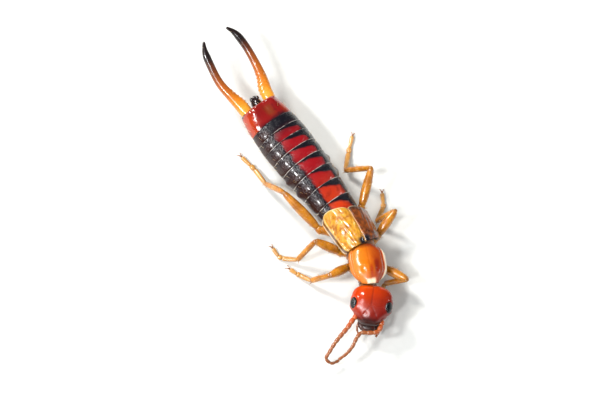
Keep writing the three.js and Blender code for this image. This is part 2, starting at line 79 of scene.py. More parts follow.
class Value:
    """A number socket that takes part in sums: each operator adds a Math node."""

    def __init__(self, graph: "Graph", socket: bpy.types.NodeSocket) -> None:
        """Wraps a socket of a graph.

        Args:
            graph: The graph that holds the socket.
            socket: An output socket that gives a number.
        """
        self.graph = graph
        self.socket = socket

    def _math(self, operation: str, *operands: "Value | float") -> "Value":
        """Adds a Math node on the operands, in order.

        Args:
            operation: What the node works out.
            *operands: Values or numbers.

        Returns:
            The result.
        """
        inputs = dict(enumerate(operands))
        node = self.graph.node("ShaderNodeMath", {"operation": operation}, inputs)
        return Value(self.graph, node.outputs[0])

    def __add__(self, other: "Value | float") -> "Value":
        """Sum."""
        return self._math("ADD", self, other)

    def __radd__(self, other: float) -> "Value":
        """Sum, from the right."""
        return self._math("ADD", other, self)

    def __sub__(self, other: "Value | float") -> "Value":
        """Difference."""
        return self._math("SUBTRACT", self, other)

    def __rsub__(self, other: float) -> "Value":
        """Difference, from the right."""
        return self._math("SUBTRACT", other, self)

    def __mul__(self, other: "Value | float") -> "Value":
        """Product."""
        return self._math("MULTIPLY", self, other)

    def __rmul__(self, other: float) -> "Value":
        """Product, from the right."""
        return self._math("MULTIPLY", other, self)

    def fraction(self) -> "Value":
        """What is left over a whole number."""
        return self._math("FRACT", self)

    def size(self) -> "Value":
        """The value without its sign."""
        return self._math("ABSOLUTE", self)

    def smooth(self, low: float, high: float) -> "Value":
        """Rises smoothly from 0 to 1.

        Args:
            low: Where it starts to rise.
            high: Where it reaches 1.

        Returns:
            The eased value.
        """
        inputs = {"Value": self, "From Min": low, "From Max": high}
        node = self.graph.node("ShaderNodeMapRange", {"interpolation_type": "SMOOTHSTEP"}, inputs)
        return Value(self.graph, node.outputs[0])

    def band(self, low: float, high: float, soft: float) -> "Value":
        """One between low and high, fading to 0 over soft on both sides."""
        return self.smooth(low - soft, low + soft) * (1 - self.smooth(high - soft, high + soft))


class Graph:
    """Adds nodes to a shader or geometry node tree."""

    def __init__(self, tree: bpy.types.NodeTree) -> None:
        """Keeps the tree that the nodes go into.

        Args:
            tree: The node tree.
        """
        self.tree = tree

    def node(self, kind: str, settings: dict | None = None, inputs: dict | None = None) -> bpy.types.Node:
        """Adds one node.

        Args:
            kind: The node's type name.
            settings: Properties that are set before the sockets.
            inputs: Values or links, by socket name or index.

        Returns:
            The new node.
        """
        node = self.tree.nodes.new(kind)
        for name, value in (settings or {}).items():
            setattr(node, name, value)
        for key, value in (inputs or {}).items():
            value = value.socket if isinstance(value, Value) else value
            if isinstance(value, bpy.types.NodeSocket):
                self.tree.links.new(value, node.inputs[key])
            else:
                node.inputs[key].default_value = value
        return node


def colour(code: str) -> tuple[float, float, float, float]:
    """Turns a six-digit screen colour into linear red, green, blue and alpha.

    Args:
        code: The colour as six hexadecimal digits.

    Returns:
        The four linear channels.
    """
    shares = [int(code[i : i + 2], 16) / 255 for i in (0, 2, 4)]
    red, green, blue = ((c / 12.92) if c < 0.04045 else ((c + 0.055) / 1.055) ** 2.4 for c in shares)
    return red, green, blue, 1.0


class Paint(Graph):
    """The node tree of one finish, with the helpers that its pattern needs."""

    def __init__(self, name: str) -> None:
        """Starts an empty material.

        Args:
            name: The material's name.
        """
        self.material = bpy.data.materials.new(name)
        self.material.use_nodes = True
        super().__init__(self.material.node_tree)
        self.tree.nodes.clear()
        self.place = self.node("ShaderNodeTexCoord").outputs["Object"]

    def mark(self, name: str) -> Value:
        """A number kept on the mesh's points under that name."""
        node = self.node("ShaderNodeAttribute", {"attribute_name": name})
        return Value(self, node.outputs["Fac"])

    def noise(self, per_mm: float, detail: float = 3.0, stretch: Sequence[float] = (1, 1, 1)) -> Value:
        """Soft noise, about 0.5 on average.

        Args:
            per_mm: How many patches lie in a millimetre.
            detail: How many finer layers it has.
            stretch: How much finer it is along x, y and z.

        Returns:
            The noise value.
        """
        scale = tuple(per_mm / MM * s for s in stretch)
        place = self.node("ShaderNodeMapping", None, {"Vector": self.place, "Scale": scale}).outputs[0]
        node = self.node("ShaderNodeTexNoise", None, {"Vector": place, "Scale": 1.0, "Detail": detail})
        return Value(self, node.outputs[0])

    def pits(self, per_mm: float) -> Value:
        """Small round pits: 0 in the middle of each and rising outwards.

        Args:
            per_mm: How many pits lie in a millimetre.

        Returns:
            The distance to the nearest middle.
        """
        inputs = {"Vector": self.place, "Scale": per_mm / MM}
        node = self.node("ShaderNodeTexVoronoi", {"feature": "F1"}, inputs)
        return Value(self, node.outputs[0])

    def mix(self, low: object, high: object, share: Value | float) -> bpy.types.NodeSocket:
        """Mixes two colours.

        Args:
            low: The colour at 0, a link or four channels.
            high: The colour at 1, a link or four channels.
            share: The share of the high colour.

        Returns:
            The mixed colour.
        """
        inputs = {0: share, 6: low, 7: high}
        node = self.node("ShaderNodeMix", {"data_type": "RGBA", "clamp_factor": True}, inputs)
        return node.outputs[2]

    def layers(self, base: object, *coats: tuple[object, Value]) -> object:
        """Lays colours over a base, each where its mask is 1.

        Args:
            base: The lowest colour.
            *coats: Colours and their masks, from the bottom up.

        Returns:
            The colour on top.
        """
        for tint, mask in coats:
            base = self.mix(base, tint, mask)
        return base

    def finish(self, shell: "Shell", base: object, height: Value | None = None,
               rough: Value | None = None) -> bpy.types.Material:
        """Closes the tree with a shader.

        Args:
            shell: The constant settings of the surface.
            base: The base colour.
            height: A relief for the bump, in which 1 stands for the shell's bump depth.
            rough: A roughness that varies, in place of the shell's own.

        Returns:
            The material.
        """
        inputs = {
            "Base Color": base,
            "Roughness": rough if rough is not None else shell.roughness,
            "IOR": shell.ior,
            "Coat Weight": shell.coat,
            "Coat Roughness": shell.coat_roughness,
            "Subsurface Weight": shell.glow,
            "Subsurface Scale": shell.glow_depth * MM,
            "Subsurface Radius": (1.0, 0.45, 0.2),
        }
        if height is not None:
            bump = {"Height": height, "Strength": shell.bump_strength, "Distance": shell.bump_depth * MM}
            inputs["Normal"] = self.node("ShaderNodeBump", None, bump).outputs[0]
        shader = self.node("ShaderNodeBsdfPrincipled", None, inputs)
        self.node("ShaderNodeOutputMaterial", None, {0: shader.outputs[0]})
        return self.material


@dataclass(frozen=True)
class Shell:
    """The constant settings of one kind of surface; depths in millimetres."""

    roughness: float = 0.3
    ior: float = 1.54
    coat: float = 0.4
    coat_roughness: float = 0.12
    glow: float = 0.0
    glow_depth: float = 0.2
    bump_strength: float = 0.6
    bump_depth: float = 0.01


# Meshes


def unit(vectors: Array) -> Array:
    """Vectors of length one."""
    return vectors / np.maximum(np.linalg.norm(vectors, axis=-1, keepdims=True), 1e-12)


def ease(value: Array | float, low: float, high: float) -> Array:
    """Rises smoothly from 0 at low to 1 at high."""
    share = np.clip((np.asarray(value, float) - low) / (high - low), 0, 1)
    return share * share * (3 - 2 * share)


def signed_power(value: Array, exponent: float) -> Array:
    """A power that keeps the sign."""
    return np.sign(value) * np.abs(value) ** exponent


def hump(value: Array | float, centre: float, width: float) -> Array:
    """A bell of height one at the centre."""
    return np.exp(-(((np.asarray(value, float) - centre) / width) ** 2))


def smooth_path(points: Sequence[Sequence[float]], count: int) -> Array:
    """A smooth curve through points, at even steps.

    Args:
        points: The points it passes through.
        count: How many points it gives.

    Returns:
        The curve's points.
    """
    knots = np.array(points, float)
    chord = np.concatenate([[0], np.cumsum(np.linalg.norm(np.diff(knots, axis=0), axis=1) ** 0.75)])
    slopes = np.gradient(knots, chord, axis=0)
    steps = np.linspace(0, chord[-1], count * 6)
    cell = np.clip(np.searchsorted(chord, steps, side="right") - 1, 0, len(knots) - 2)
    span = (chord[cell + 1] - chord[cell])[:, None]
    t = (steps - chord[cell])[:, None] / span
    curve = (
        (2 * t**3 - 3 * t**2 + 1) * knots[cell]
        + (t**3 - 2 * t**2 + t) * span * slopes[cell]
        + (3 * t**2 - 2 * t**3) * knots[cell + 1]
        + (t**3 - t**2) * span * slopes[cell + 1]
    )
    length = np.concatenate([[0], np.cumsum(np.linalg.norm(np.diff(curve, axis=0), axis=1))])
    even = np.linspace(0, length[-1], count)
    return np.stack([np.interp(even, length, curve[:, i]) for i in range(3)], axis=1)


def tube(path: Array, wide: Array, high: Array, sides: int = 24, up: Sequence[float] = (0, 0, 1)) -> Array:
    """Rings around a path.

    Args:
        path: The middle line.
        wide: Half the width at each point, level and across the path.
        high: Half the height at each point.
        sides: Points in a ring.
        up: The direction that the height keeps near.

    Returns:
        The rings, as an array of ring, point and coordinate.
    """
    along = unit(np.gradient(path, axis=0))
    across = unit(np.cross(along, np.array(up, float)))
    rise = np.cross(across, along)
    turn = np.linspace(0, 2 * math.pi, sides, endpoint=False)
    return (
        path[:, None]
        + across[:, None] * (np.cos(turn)[None, :, None] * np.asarray(wide)[:, None, None])
        + rise[:, None] * (np.sin(turn)[None, :, None] * np.asarray(high)[:, None, None])
    )


def rounded_steps(count: int) -> Array:
    """Steps from 0 to 1 that crowd together at both ends."""
    return 0.5 - 0.5 * np.cos(np.linspace(0, math.pi, count))


def end_round(share: Array, power: float = 8.0) -> Array:
    """A radius share that closes roundly at both ends."""
    return np.maximum(1 - np.abs(2 * share - 1) ** power, 0.0004) ** 0.5


@dataclass(frozen=True)
class BodyLine:
    """The middle line of the body: straight behind, then bent towards the animal's right."""

    origin: Vector
    bend_radius: float = 5.0
    bend_length: float = 3.6

    def heading(self, forward: Array | float) -> Array:
        """How far the body has turned at a distance forward, in radians."""
        return np.clip(forward, 0, self.bend_length) / self.bend_radius

    def place(self, forward: Array | float, left: Array | float, up: Array | float) -> Array:
        """Points of the body.

        Args:
            forward: Distance ahead of the abdomen's front face.
            left: Distance to the animal's left.
            up: Height over the floor.

        Returns:
            The points, in millimetres.
        """
        forward, left, up = np.broadcast_arrays(*(np.asarray(v, float) for v in (forward, left, up)))
        heading = self.heading(forward)
        straight = forward - np.clip(forward, 0, self.bend_length)
        x = -self.bend_radius * (1 - np.cos(heading)) - straight * np.sin(heading) + left * np.cos(heading)
        y = -self.bend_radius * np.sin(heading) - straight * np.cos(heading) - left * np.sin(heading)
        return np.stack([x, y, up], axis=-1)


@dataclass
class Mould:
    """Collects closed shells and casts them as one mesh object, placed by the body's line."""

    line: BodyLine
    points: list[Array] = field(default_factory=list)
    faces: list[tuple[int, ...]] = field(default_factory=list)
    marks: dict[str, list[Array]] = field(default_factory=dict)
    lies: list[Array] = field(default_factory=list)
    count: int = 0

    def shell(self, rings: Array, **marks: Array | float) -> None:
        """Adds a closed shell.

        Args:
            rings: Rings of points, closed round each ring and at both ends.
            **marks: A number for each point, or one for all, kept on the mesh by name.
        """
        rows, sides, _ = rings.shape
        flat = rings.reshape(-1, 3)
        start = self.count
        grid = np.arange(rows * sides).reshape(rows, sides) + start
        a, b = grid[:-1], np.roll(grid[:-1], -1, axis=1)
        c, d = np.roll(grid[1:], -1, axis=1), grid[1:]
        faces = [tuple(f) for f in np.stack([a, b, c, d], axis=-1).reshape(-1, 4).tolist()]
        first, last = start + len(flat), start + len(flat) + 1
        faces += [(first, p, q) for p, q in zip(np.roll(grid[0], -1).tolist(), grid[0].tolist())]
        faces += [(last, p, q) for p, q in zip(grid[-1].tolist(), np.roll(grid[-1], -1).tolist())]
        points = np.vstack([flat, rings[0].mean(0), rings[-1].mean(0)])
        if self._volume(points, faces, start) < 0:
            faces = [tuple(reversed(f)) for f in faces]
        lie = unit(np.gradient(rings, axis=0)).reshape(-1, 3)
        self.lies.append(np.vstack([lie, lie[:1], lie[-1:]]))
        turn = np.linspace(0, 1, sides, endpoint=False)
        unwrap = {"root_u": turn[None, :], "root_v": np.linspace(0, 1, rows)[:, None]}
        for name, value in {**unwrap, **marks}.items():
            full = np.broadcast_to(np.asarray(value, float), (rows, sides))
            ends = [full[0].mean(), full[-1].mean()]
            blank = [np.zeros(self.count)] if name not in self.marks and self.count else []
            self.marks.setdefault(name, blank).append(np.concatenate([full.ravel(), ends]))
        self.points.append(points)
        self.faces += faces
        self.count += len(points)
        for name, rows_kept in self.marks.items():
            missing = self.count - sum(len(r) for r in rows_kept)
            if missing:
                rows_kept.append(np.zeros(missing))

    @staticmethod
    def _volume(points: Array, faces: list[tuple[int, ...]], start: int) -> float:
        """Works out six times the volume that the faces hold.

        Args:
            points: The shell's own points.
            faces: Its faces, numbered within the whole mesh.
            start: The number of its first point.

        Returns:
            The volume, negative where the faces point inwards.
        """
        quads = np.array([f if len(f) == 4 else (*f, f[2]) for f in faces]) - start
        p = points[quads] - points.mean(0)
        near = np.einsum("ij,ij->i", p[:, 0], np.cross(p[:, 1], p[:, 2]))
        far = np.einsum("ij,ij->i", p[:, 0], np.cross(p[:, 2], p[:, 3]))
        return float((near + far).sum())

    def cast(self, name: str, material: bpy.types.Material) -> bpy.types.Object:
        """Makes the mesh object, in metres, smooth and with its marks.

        Args:
            name: The object's name.
            material: Its finish.

        Returns:
            The object.
        """
        points = np.vstack(self.points) * MM + np.array(self.line.origin)
        bands = self.marks["root_v"]
        self.marks["root_v"] = [(index + band) / len(bands) for index, band in enumerate(bands)]
        mesh = bpy.data.meshes.new(name)
        mesh.from_pydata(points.tolist(), [], self.faces)
        for mark, rows in self.marks.items():
            store = mesh.attributes.new(mark, "FLOAT", "POINT")
            store.data.foreach_set("value", np.concatenate(rows).astype(np.float32))
        lie = mesh.attributes.new("lie", "FLOAT_VECTOR", "POINT")
        lie.data.foreach_set("vector", np.vstack(self.lies).astype(np.float32).ravel())
        mesh.materials.append(material)
        mesh.polygons.foreach_set("use_smooth", np.ones(len(mesh.polygons), bool))
        mesh.update()
        obj = bpy.data.objects.new(name, mesh)
        bpy.context.scene.collection.objects.link(obj)
        return obj


def body_section(turn: Array, half_width: Array, top: Array, bottom: Array, power: float,
                 inset: float = 1.0) -> tuple[Array, Array]:
    """A flattened round section, wider above the side line than below it.

    Args:
        turn: The angle round the section.
        half_width: Half the width.
        top: Height of the top.
        bottom: Height of the underside.
        power: How square the section is; 2 is an ellipse.
        inset: Share of the width that the part below the side line keeps.

    Returns:
        The step to the left and the height of each point.
    """
    side_line = bottom + 0.45 * (top - bottom)
    across = signed_power(np.cos(turn), 2 / power) * half_width
    rise = signed_power(np.sin(turn), 2 / power)
    below = ease(-np.sin(turn), 0.0, 0.12)
    left = across * (1 - (1 - inset) * below)
    up = side_line + np.where(rise > 0, rise * (top - side_line), rise * (side_line - bottom))
    return left, up


def turns(sides: int) -> Array:
    """Angles round a section, as one row."""
    return np.linspace(0, 2 * math.pi, sides, endpoint=False)[None, :]


def finish_piece(obj: bpy.types.Object, slot: str, *nodes: str) -> bpy.types.Object:
    """Sets a piece on the body, in place of the solids that it stands for.

    Args:
        obj: The piece.
        slot: Not used.
        *nodes: The solids that it replaces.

    Returns:
        The piece.
    """
    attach(obj, ROOT)
    if nodes:
        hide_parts(*nodes)
    log.info("%s: %d faces", obj.name, len(obj.data.polygons))
    return obj


# Geometry node trees


class Rig(Graph):
    """A geometry node tree with named inputs."""

    KINDS = {float: "NodeSocketFloat", int: "NodeSocketInt"}

    def __init__(self, name: str, **sizes: float | int) -> None:
        """Starts a tree with one geometry input and a number input for each size.

        Args:
            name: The tree's name.
            **sizes: The inputs and their values.
        """
        super().__init__(bpy.data.node_groups.new(name, "GeometryNodeTree"))
        face = self.tree.interface
        face.new_socket(name="Geometry", in_out="INPUT", socket_type="NodeSocketGeometry")
        face.new_socket(name="Geometry", in_out="OUTPUT", socket_type="NodeSocketGeometry")
        self.sizes = sizes
        self.sockets = {
            key: face.new_socket(name=key, in_out="INPUT", socket_type=self.KINDS[type(value)])
            for key, value in sizes.items()
        }
        self.entry = self.node("NodeGroupInput")
        self.geometry = self.entry.outputs["Geometry"]

    def size(self, name: str) -> Value:
        """A named input as a value."""
        return Value(self, self.entry.outputs[name])

    def close(self, geometry: bpy.types.NodeSocket, material: bpy.types.Material) -> None:
        """Ends the tree: instances made real, then the material.

        Args:
            geometry: What the tree has made.
            material: Its finish.
        """
        real = self.node("GeometryNodeRealizeInstances", None, {0: geometry}).outputs[0]
        smooth = self.node("GeometryNodeSetShadeSmooth", None, {0: real}).outputs[0]
        done = self.node("GeometryNodeSetMaterial", None, {"Geometry": smooth, "Material": material})
        self.node("NodeGroupOutput", None, {0: done.outputs[0]})

    def grow(self, name: str, source: bpy.types.Object) -> bpy.types.Object:
        """Runs the tree on a source object and keeps the result as a plain mesh.

        Args:
            name: The new object's name.
            source: The object that the tree starts from; it is left as it was.

        Returns:
            The new object.
        """
        modifier = source.modifiers.new(name, "NODES")
        modifier.node_group = self.tree
        for key, value in self.sizes.items():
            modifier[self.sockets[key].identifier] = value
        graph = bpy.context.evaluated_depsgraph_get()
        mesh = bpy.data.meshes.new_from_object(source.evaluated_get(graph), depsgraph=graph)
        source.modifiers.remove(modifier)
        mesh.name = name
        obj = bpy.data.objects.new(name, mesh)
        bpy.context.scene.collection.objects.link(obj)
        return obj


@dataclass(frozen=True)
class Bristles:
    """Fine hairs over a piece, leaning along its lie; lengths in millimetres, their spread as shares."""

    per_mm2: float
    length: float
    thickness: float = 0.012
    lean: float = 0.75
    seed: int = 1
    shortest: float = 0.55
    longest: float = 1.15

    def grow(self, name: str, skin: bpy.types.Object, material: bpy.types.Material,
             where: str) -> bpy.types.Object:
        """Grows the hairs as solid thin spikes, each rooted in the skin.

        Args:
            name: The new piece's name.
            skin: The piece that they grow on.
            material: Their finish.
            where: A mark on the skin that is 1 where hairs grow.

        Returns:
            The hairs as one mesh with their root map.
        """
        rig = Rig(name, Density=self.per_mm2 / MM**2, Length=self.length * MM,
                  Thickness=self.thickness * MM, Lean=self.lean, Seed=self.seed)
        mask = rig.node("GeometryNodeInputNamedAttribute", {"data_type": "FLOAT"}, {"Name": where})
        density = rig.size("Density") * Value(rig, mask.outputs["Attribute"])
        scatter = rig.node("GeometryNodeDistributePointsOnFaces", {"distribute_method": "RANDOM"},
                           {"Mesh": rig.geometry, "Density": density, "Seed": rig.size("Seed")})
        lie = rig.node("GeometryNodeInputNamedAttribute", {"data_type": "FLOAT_VECTOR"}, {"Name": "lie"})
        leaning = rig.node("ShaderNodeVectorMath", {"operation": "SCALE"},
                           {0: lie.outputs["Attribute"], "Scale": rig.size("Lean")})
        aim = rig.node("ShaderNodeVectorMath", {"operation": "ADD"},
                       {0: scatter.outputs["Normal"], 1: leaning.outputs[0]})
        spike = rig.node("GeometryNodeMeshCone", {"fill_type": "NGON"},
                         {"Vertices": 4, "Side Segments": 2, "Radius Top": 0.0,
                          "Radius Bottom": rig.size("Thickness"), "Depth": rig.size("Length")})
        turn = rig.node("FunctionNodeAlignRotationToVector", {"axis": "Z"}, {"Vector": aim.outputs[0]})
        spread = rig.node("FunctionNodeRandomValue", {"data_type": "FLOAT"},
                          {2: self.shortest, 3: self.longest, "Seed": rig.size("Seed")})
        sprout = rig.node("GeometryNodeInstanceOnPoints", None,
                          {"Points": scatter.outputs["Points"], "Instance": spike.outputs["Mesh"],
                           "Rotation": turn.outputs[0], "Scale": spread.outputs[1]})
        rig.close(sprout.outputs[0], material)
        hairs = rig.grow(name, skin)
        self._map_roots(hairs)
        return hairs

    @staticmethod
    def _map_roots(hairs: bpy.types.Object) -> None:
        """Gives each hair a small patch of the map at its root's place on the skin's unwrap.

        Args:
            hairs: The hairs as one mesh.
        """
        mesh = hairs.data
        count = len(mesh.vertices)
        roots = []
        for name in ("root_u", "root_v"):
            values = np.zeros(count, np.float32)
            mesh.attributes[name].data.foreach_get("value", values)
            roots.append(values)
        corners = np.zeros(len(mesh.loops), np.int32)
        mesh.loops.foreach_get("vertex_index", corners)
        round_root = np.stack([np.sin(corners * 2.4), np.cos(corners * 2.4)], axis=1)
        patch = np.stack(roots, axis=1)[corners] * 0.98 + 0.01 + round_root * ROOT_PATCH / 2
        layer = mesh.uv_layers.new(name="OFBake")
        layer.data.foreach_set("uv", patch.astype(np.float32).ravel())


@dataclass(frozen=True)
class JointedFeeler:
    """A feeler of many joints, each a little wider at its far end; thicknesses in millimetres."""

    joints: int
    base: float
    tip: float
    waist: float = 0.2
    sides: int = 20
    steps_per_joint: int = 14

    def grow(self, name: str, path: Array, line: BodyLine, material: bpy.types.Material) -> bpy.types.Object:
        """Sweeps the feeler along its path.

        Args:
            name: The new piece's name.
            path: Points along it, in millimetres.
            line: The body's line, for the origin.
            material: Its finish.

        Returns:
            The feeler as a plain mesh.
        """
        curve = bpy.data.curves.new(name + "_path", "CURVE")
        curve.dimensions = "3D"
        spline = curve.splines.new("POLY")
        spline.points.add(len(path) - 1)
        points = path * MM + np.array(line.origin)
        spline.points.foreach_set("co", np.c_[points, np.ones(len(points))].ravel())
        source = bpy.data.objects.new(name + "_path", curve)
        bpy.context.scene.collection.objects.link(source)
        rig = self._rig(name, material)
        feeler = rig.grow(name, source)
        bpy.data.objects.remove(source)
        return feeler

    def _rig(self, name: str, material: bpy.types.Material) -> Rig:
        """The tree that sweeps a ring along the path with a radius that follows the joints.

        Args:
            name: The tree's name.
            material: The finish that it ends in.

        Returns:
            The tree.
        """
        rig = Rig(name, Joints=self.joints, Base=self.base / 2 * MM, Tip=self.tip / 2 * MM,
                  Waist=self.waist, Steps=self.joints * self.steps_per_joint)
        even = rig.node("GeometryNodeResampleCurve", {"mode": "COUNT"},
                        {"Curve": rig.geometry, "Count": rig.size("Steps")}).outputs[0]
        along = Value(rig, rig.node("GeometryNodeSplineParameter").outputs["Factor"])
        # Just short of the whole number, so that the tip belongs to the last joint.
        place = along * rig.size("Joints") * 0.9995
        share = place.fraction()
        club = 1 - rig.size("Waist") * (1 - share.smooth(0.0, 0.55)) - 0.1 * share.smooth(0.86, 1.0)
        taper = rig.size("Base") + (rig.size("Tip") - rig.size("Base")) * along
        close = 1 - 0.75 * along.smooth(0.985, 1.0)
        marked = rig.node("GeometryNodeStoreNamedAttribute", {"data_type": "FLOAT", "domain": "POINT"},
                          {"Geometry": even, "Name": "along", "Value": along}).outputs[0]
        marked = rig.node("GeometryNodeStoreNamedAttribute", {"data_type": "FLOAT", "domain": "POINT"},
                          {"Geometry": marked, "Name": "share", "Value": share}).outputs[0]
        ring = rig.node("GeometryNodeCurvePrimitiveCircle", None, {"Resolution": self.sides, "Radius": 1.0})
        swept = rig.node("GeometryNodeCurveToMesh", None,
                         {"Curve": marked, "Profile Curve": ring.outputs["Curve"], "Fill Caps": True,
                          "Scale": taper * club * close})
        rig.close(swept.outputs[0], material)
        return rig


# Finishes


@dataclass(frozen=True)
class AbdomenFinish:
    """Near-black rings with red patches that turn orange towards the thorax; on the right side, where the
    lamps fall, the patches stop short with a painted dark reflection and the flank is brown-red with painted
    light.
    """

    shell: Shell = Shell(ior=1.45, coat=0.35, coat_roughness=0.06, bump_strength=0.8, bump_depth=0.03)
    dark: str = "0B0912"
    red: str = "8A0610"
    orange: str = "B83004"
    margin: str = "E4DCD0"
    deep_red: str = "4A0608"
    flank: str = "2A0E0A"
    belly: str = "3A1A0E"

    def make(self) -> bpy.types.Material:
        """Builds the material.

        Returns:
            The material.
        """
        paint = Paint("abdomen_finish")
        side, share, along = paint.mark("side"), paint.mark("share"), paint.mark("along")
        above = paint.mark("above")
        cloud = paint.noise(2.2, 4.0)
        shifted = side + (cloud - 0.5) * 0.4
        # The patch reaches further to the left than to the right: the near-black band to its right is a
        # painted dark reflection.
        patch = shifted.band(-0.4, 0.6, 0.1)
        reach = share + (cloud - 0.5) * 0.15 + 0.42 * shifted
        patch = patch * (1 - reach.smooth(0.72, 0.86)) * (1 - along.smooth(0.66, 0.78))
        # Painted light: the flank on the animal's right, which the lamps light, is brown-red; the left flank
        # stays near-black.
        flank = (0 - shifted).smooth(0.5, 0.72) * (1 - 0.55 * share.smooth(0.5, 0.7))
        warm = paint.mix(colour(self.red), colour(self.orange), (1 - along).smooth(0.62, 0.95))
        broken = paint.noise(3.2, 2.0).smooth(0.42, 0.58)
        base = paint.layers(
            colour(self.dark),
            (colour(self.flank), flank),
            (colour(self.belly), 1 - above.smooth(-0.45, 0.1)),
            (warm, patch),
            (colour(self.deep_red), cloud.smooth(0.5, 0.7) * 0.5 * patch),
            (colour(self.margin), share.smooth(0.974, 0.99) * (0.1 + 0.8 * broken)),
        )
        fine = paint.noise(20.0, 4.0, (0.45, 1.6, 1.0))
        height = fine * 0.9 + paint.pits(13.0) * 0.3
        return paint.finish(self.shell, base, height, 0.1 + 0.22 * fine)


@dataclass(frozen=True)
class TailFinish:
    """Dark red last ring with orange-red flanks."""

    shell: Shell = Shell(
        roughness=0.26, coat=0.5, coat_roughness=0.12,
        bump_strength=0.45, bump_depth=0.015,
    )

    def make(self) -> bpy.types.Material:
        """Builds the material.

        Returns:
            The material.
        """
        paint = Paint("tail_finish")
        side, along = paint.mark("side"), paint.mark("along")
        cloud = paint.noise(2.5, 4.0)
        flank = (side.size() + (cloud - 0.5) * 0.5).smooth(0.5, 0.95)
        rear = (along + (cloud - 0.5) * 0.3).smooth(0.72, 1.0)
        hot = (side + (cloud - 0.5) * 0.4).band(-0.1, 0.3, 0.15) * along.band(0.3, 0.75, 0.15)
        base = paint.layers(
            colour("7A0A0A"),
            (colour("1C0A14"), (1 - along + (cloud - 0.5) * 0.3).smooth(0.7, 0.95)),
            (colour("6E3210"), hot * 0.7),
            (colour("A63008"), flank),
            (colour("8A1A0A"), rear * 0.6),
            (colour("1C0808"), cloud.smooth(0.6, 0.78) * 0.6),
        )
        height = paint.noise(22.0, 3.0) * 0.7 + paint.pits(11.0) * 0.6
        return paint.finish(self.shell, base, height, 0.1 + 0.18 * cloud)


@dataclass(frozen=True)
class ForcepsFinish:
    """Golden orange at the root, red-brown on the way and near black at the tip."""

    shell: Shell = Shell(roughness=0.26, coat=0.5, glow=0.12, bump_strength=0.3, bump_depth=0.01)

    def make(self) -> bpy.types.Material:
        """Builds the material.

        Returns:
            The material.
        """
        paint = Paint("forceps_finish")
        along = paint.mark("along") + (paint.noise(3.0, 3.0) - 0.5) * 0.12
        base = paint.layers(
            colour("D27A12"),
            (colour("A65410"), along.smooth(0.15, 0.45)),
            (colour("6A300E"), along.smooth(0.42, 0.68)),
            (colour("1A0E0C"), along.smooth(0.6, 0.82)),
            (colour("E8A032"), along.band(0.0, 0.16, 0.06) * 0.6),
        )
        height = paint.noise(16.0, 3.0) * 0.6 + paint.pits(10.0) * 0.4
        return paint.finish(self.shell, base, height, 0.2 + 0.15 * paint.noise(9.0))


@dataclass(frozen=True)
class HeadFinish:
    """Glossy red-orange head, darker towards the front; painted light makes it lighter and more orange
    towards the rear and the right side, and painted shade makes it darker towards the left side.
    """

    shell: Shell = Shell(roughness=0.22, coat=0.0, glow=0.05, bump_strength=0.25, bump_depth=0.008)

    def make(self) -> bpy.types.Material:
        """Builds the material.

        Returns:
            The material.
        """
        paint = Paint("head_finish")
        side, along, above = paint.mark("side"), paint.mark("along"), paint.mark("above")
        cloud = paint.noise(1.6, 4.0) - 0.5
        # Painted light and shade: this mix and the orange layer after it make the head lighter towards the
        # rear and the animal's right, where the lamps fall, and darker towards its left.
        lit = (along * 0.75 - side * 0.55 + cloud * 0.6).smooth(-0.55, 0.75)
        base = paint.layers(
            paint.mix(colour("740E02"), colour("B23200"), lit),
            (colour("CC4E08"), (along - 0.4 * side + cloud).smooth(0.7, 1.25) * 0.6),
            (colour("2E0C08"), (0 - along + cloud * 0.5).smooth(0.55, 0.85)),
            (colour("6A2A10"), (1 - above.smooth(-0.7, 0.0)) * 0.7),
            (colour("4A0E08"), paint.mark("suture") * 0.45),
        )
        height = paint.pits(17.0) * 0.5 + paint.noise(30.0) * 0.3
        dull = 1 - (along + cloud * 0.3).smooth(-0.25, 0.4)
        return paint.finish(self.shell, base, height, 0.12 + 0.08 * paint.noise(7.0) + 0.16 * dull)


@dataclass(frozen=True)
class PronotumFinish:
    """Amber plate with darker marks in front, painted shade towards the left side, and a clear border; the
    pale border on the left and the pale collar in front are partly their own pale colour and partly painted
    highlight.
    """

    shell: Shell = Shell(
        roughness=0.22, coat=0.2, coat_roughness=0.1,
        glow=0.15, bump_strength=0.4, bump_depth=0.012,
    )

    def make(self) -> bpy.types.Material:
        """Builds the material.

        Returns:
            The material.
        """
        paint = Paint("pronotum_finish")
        side, along = paint.mark("side"), paint.mark("along")
        cloud = paint.noise(2.4, 4.0) - 0.5
        # Painted shade: the plate darkens from the animal's right towards its left, away from the lamps.
        left = (side + cloud * 0.5).smooth(-0.5, 0.55)
        marks = (side + cloud * 0.2).band(0.3, 0.58, 0.1) * along.band(-0.75, 0.15, 0.2)
        front = (0 - along + cloud * 0.4).smooth(0.45, 0.95) * side.band(-0.5, 0.6, 0.2)
        rear = (along + cloud * 0.3).smooth(0.72, 0.98)
        # The pale border on the animal's left is partly the border's own pale colour, partly a painted
        # highlight where the lamps catch it.
        border = (side + cloud * 0.08).smooth(0.85, 0.92)
        clear = (0 - side + cloud * 0.08).smooth(0.8, 0.92)
        middle = (side + cloud * 0.2).band(-0.02, 0.14, 0.07) * along.band(-0.9, -0.2, 0.2)
        # The cream collar in front is partly the margin's own pale colour, partly a painted highlight.
        collar = (0 - along + cloud * 0.1).smooth(0.84, 0.94) * (side + cloud * 0.2).band(-0.42, 0.34, 0.1)
        base = paint.layers(
            paint.mix(colour("CE7008"), colour("A43C04"), left),
            (colour("7A1604"), marks * 0.9),
            (colour("9A2804"), middle * 0.8),
            (colour("9A3406"), front * 0.6),
            (colour("5A1606"), rear * 0.8),
            (colour("B8640E"), clear * 0.8),
            (colour("F0DDBE"), border),
            (colour("F0D6B6"), collar * 0.9),
        )
        height = paint.noise(11.0, 3.0) * 0.8 + paint.pits(12.0) * 0.3
        edge = (0 - side).smooth(0.45, 0.75) + (0 - along).smooth(0.5, 0.8)
        return paint.finish(self.shell, base, height, 0.14 + 0.14 * paint.noise(6.0) + 0.25 * edge)


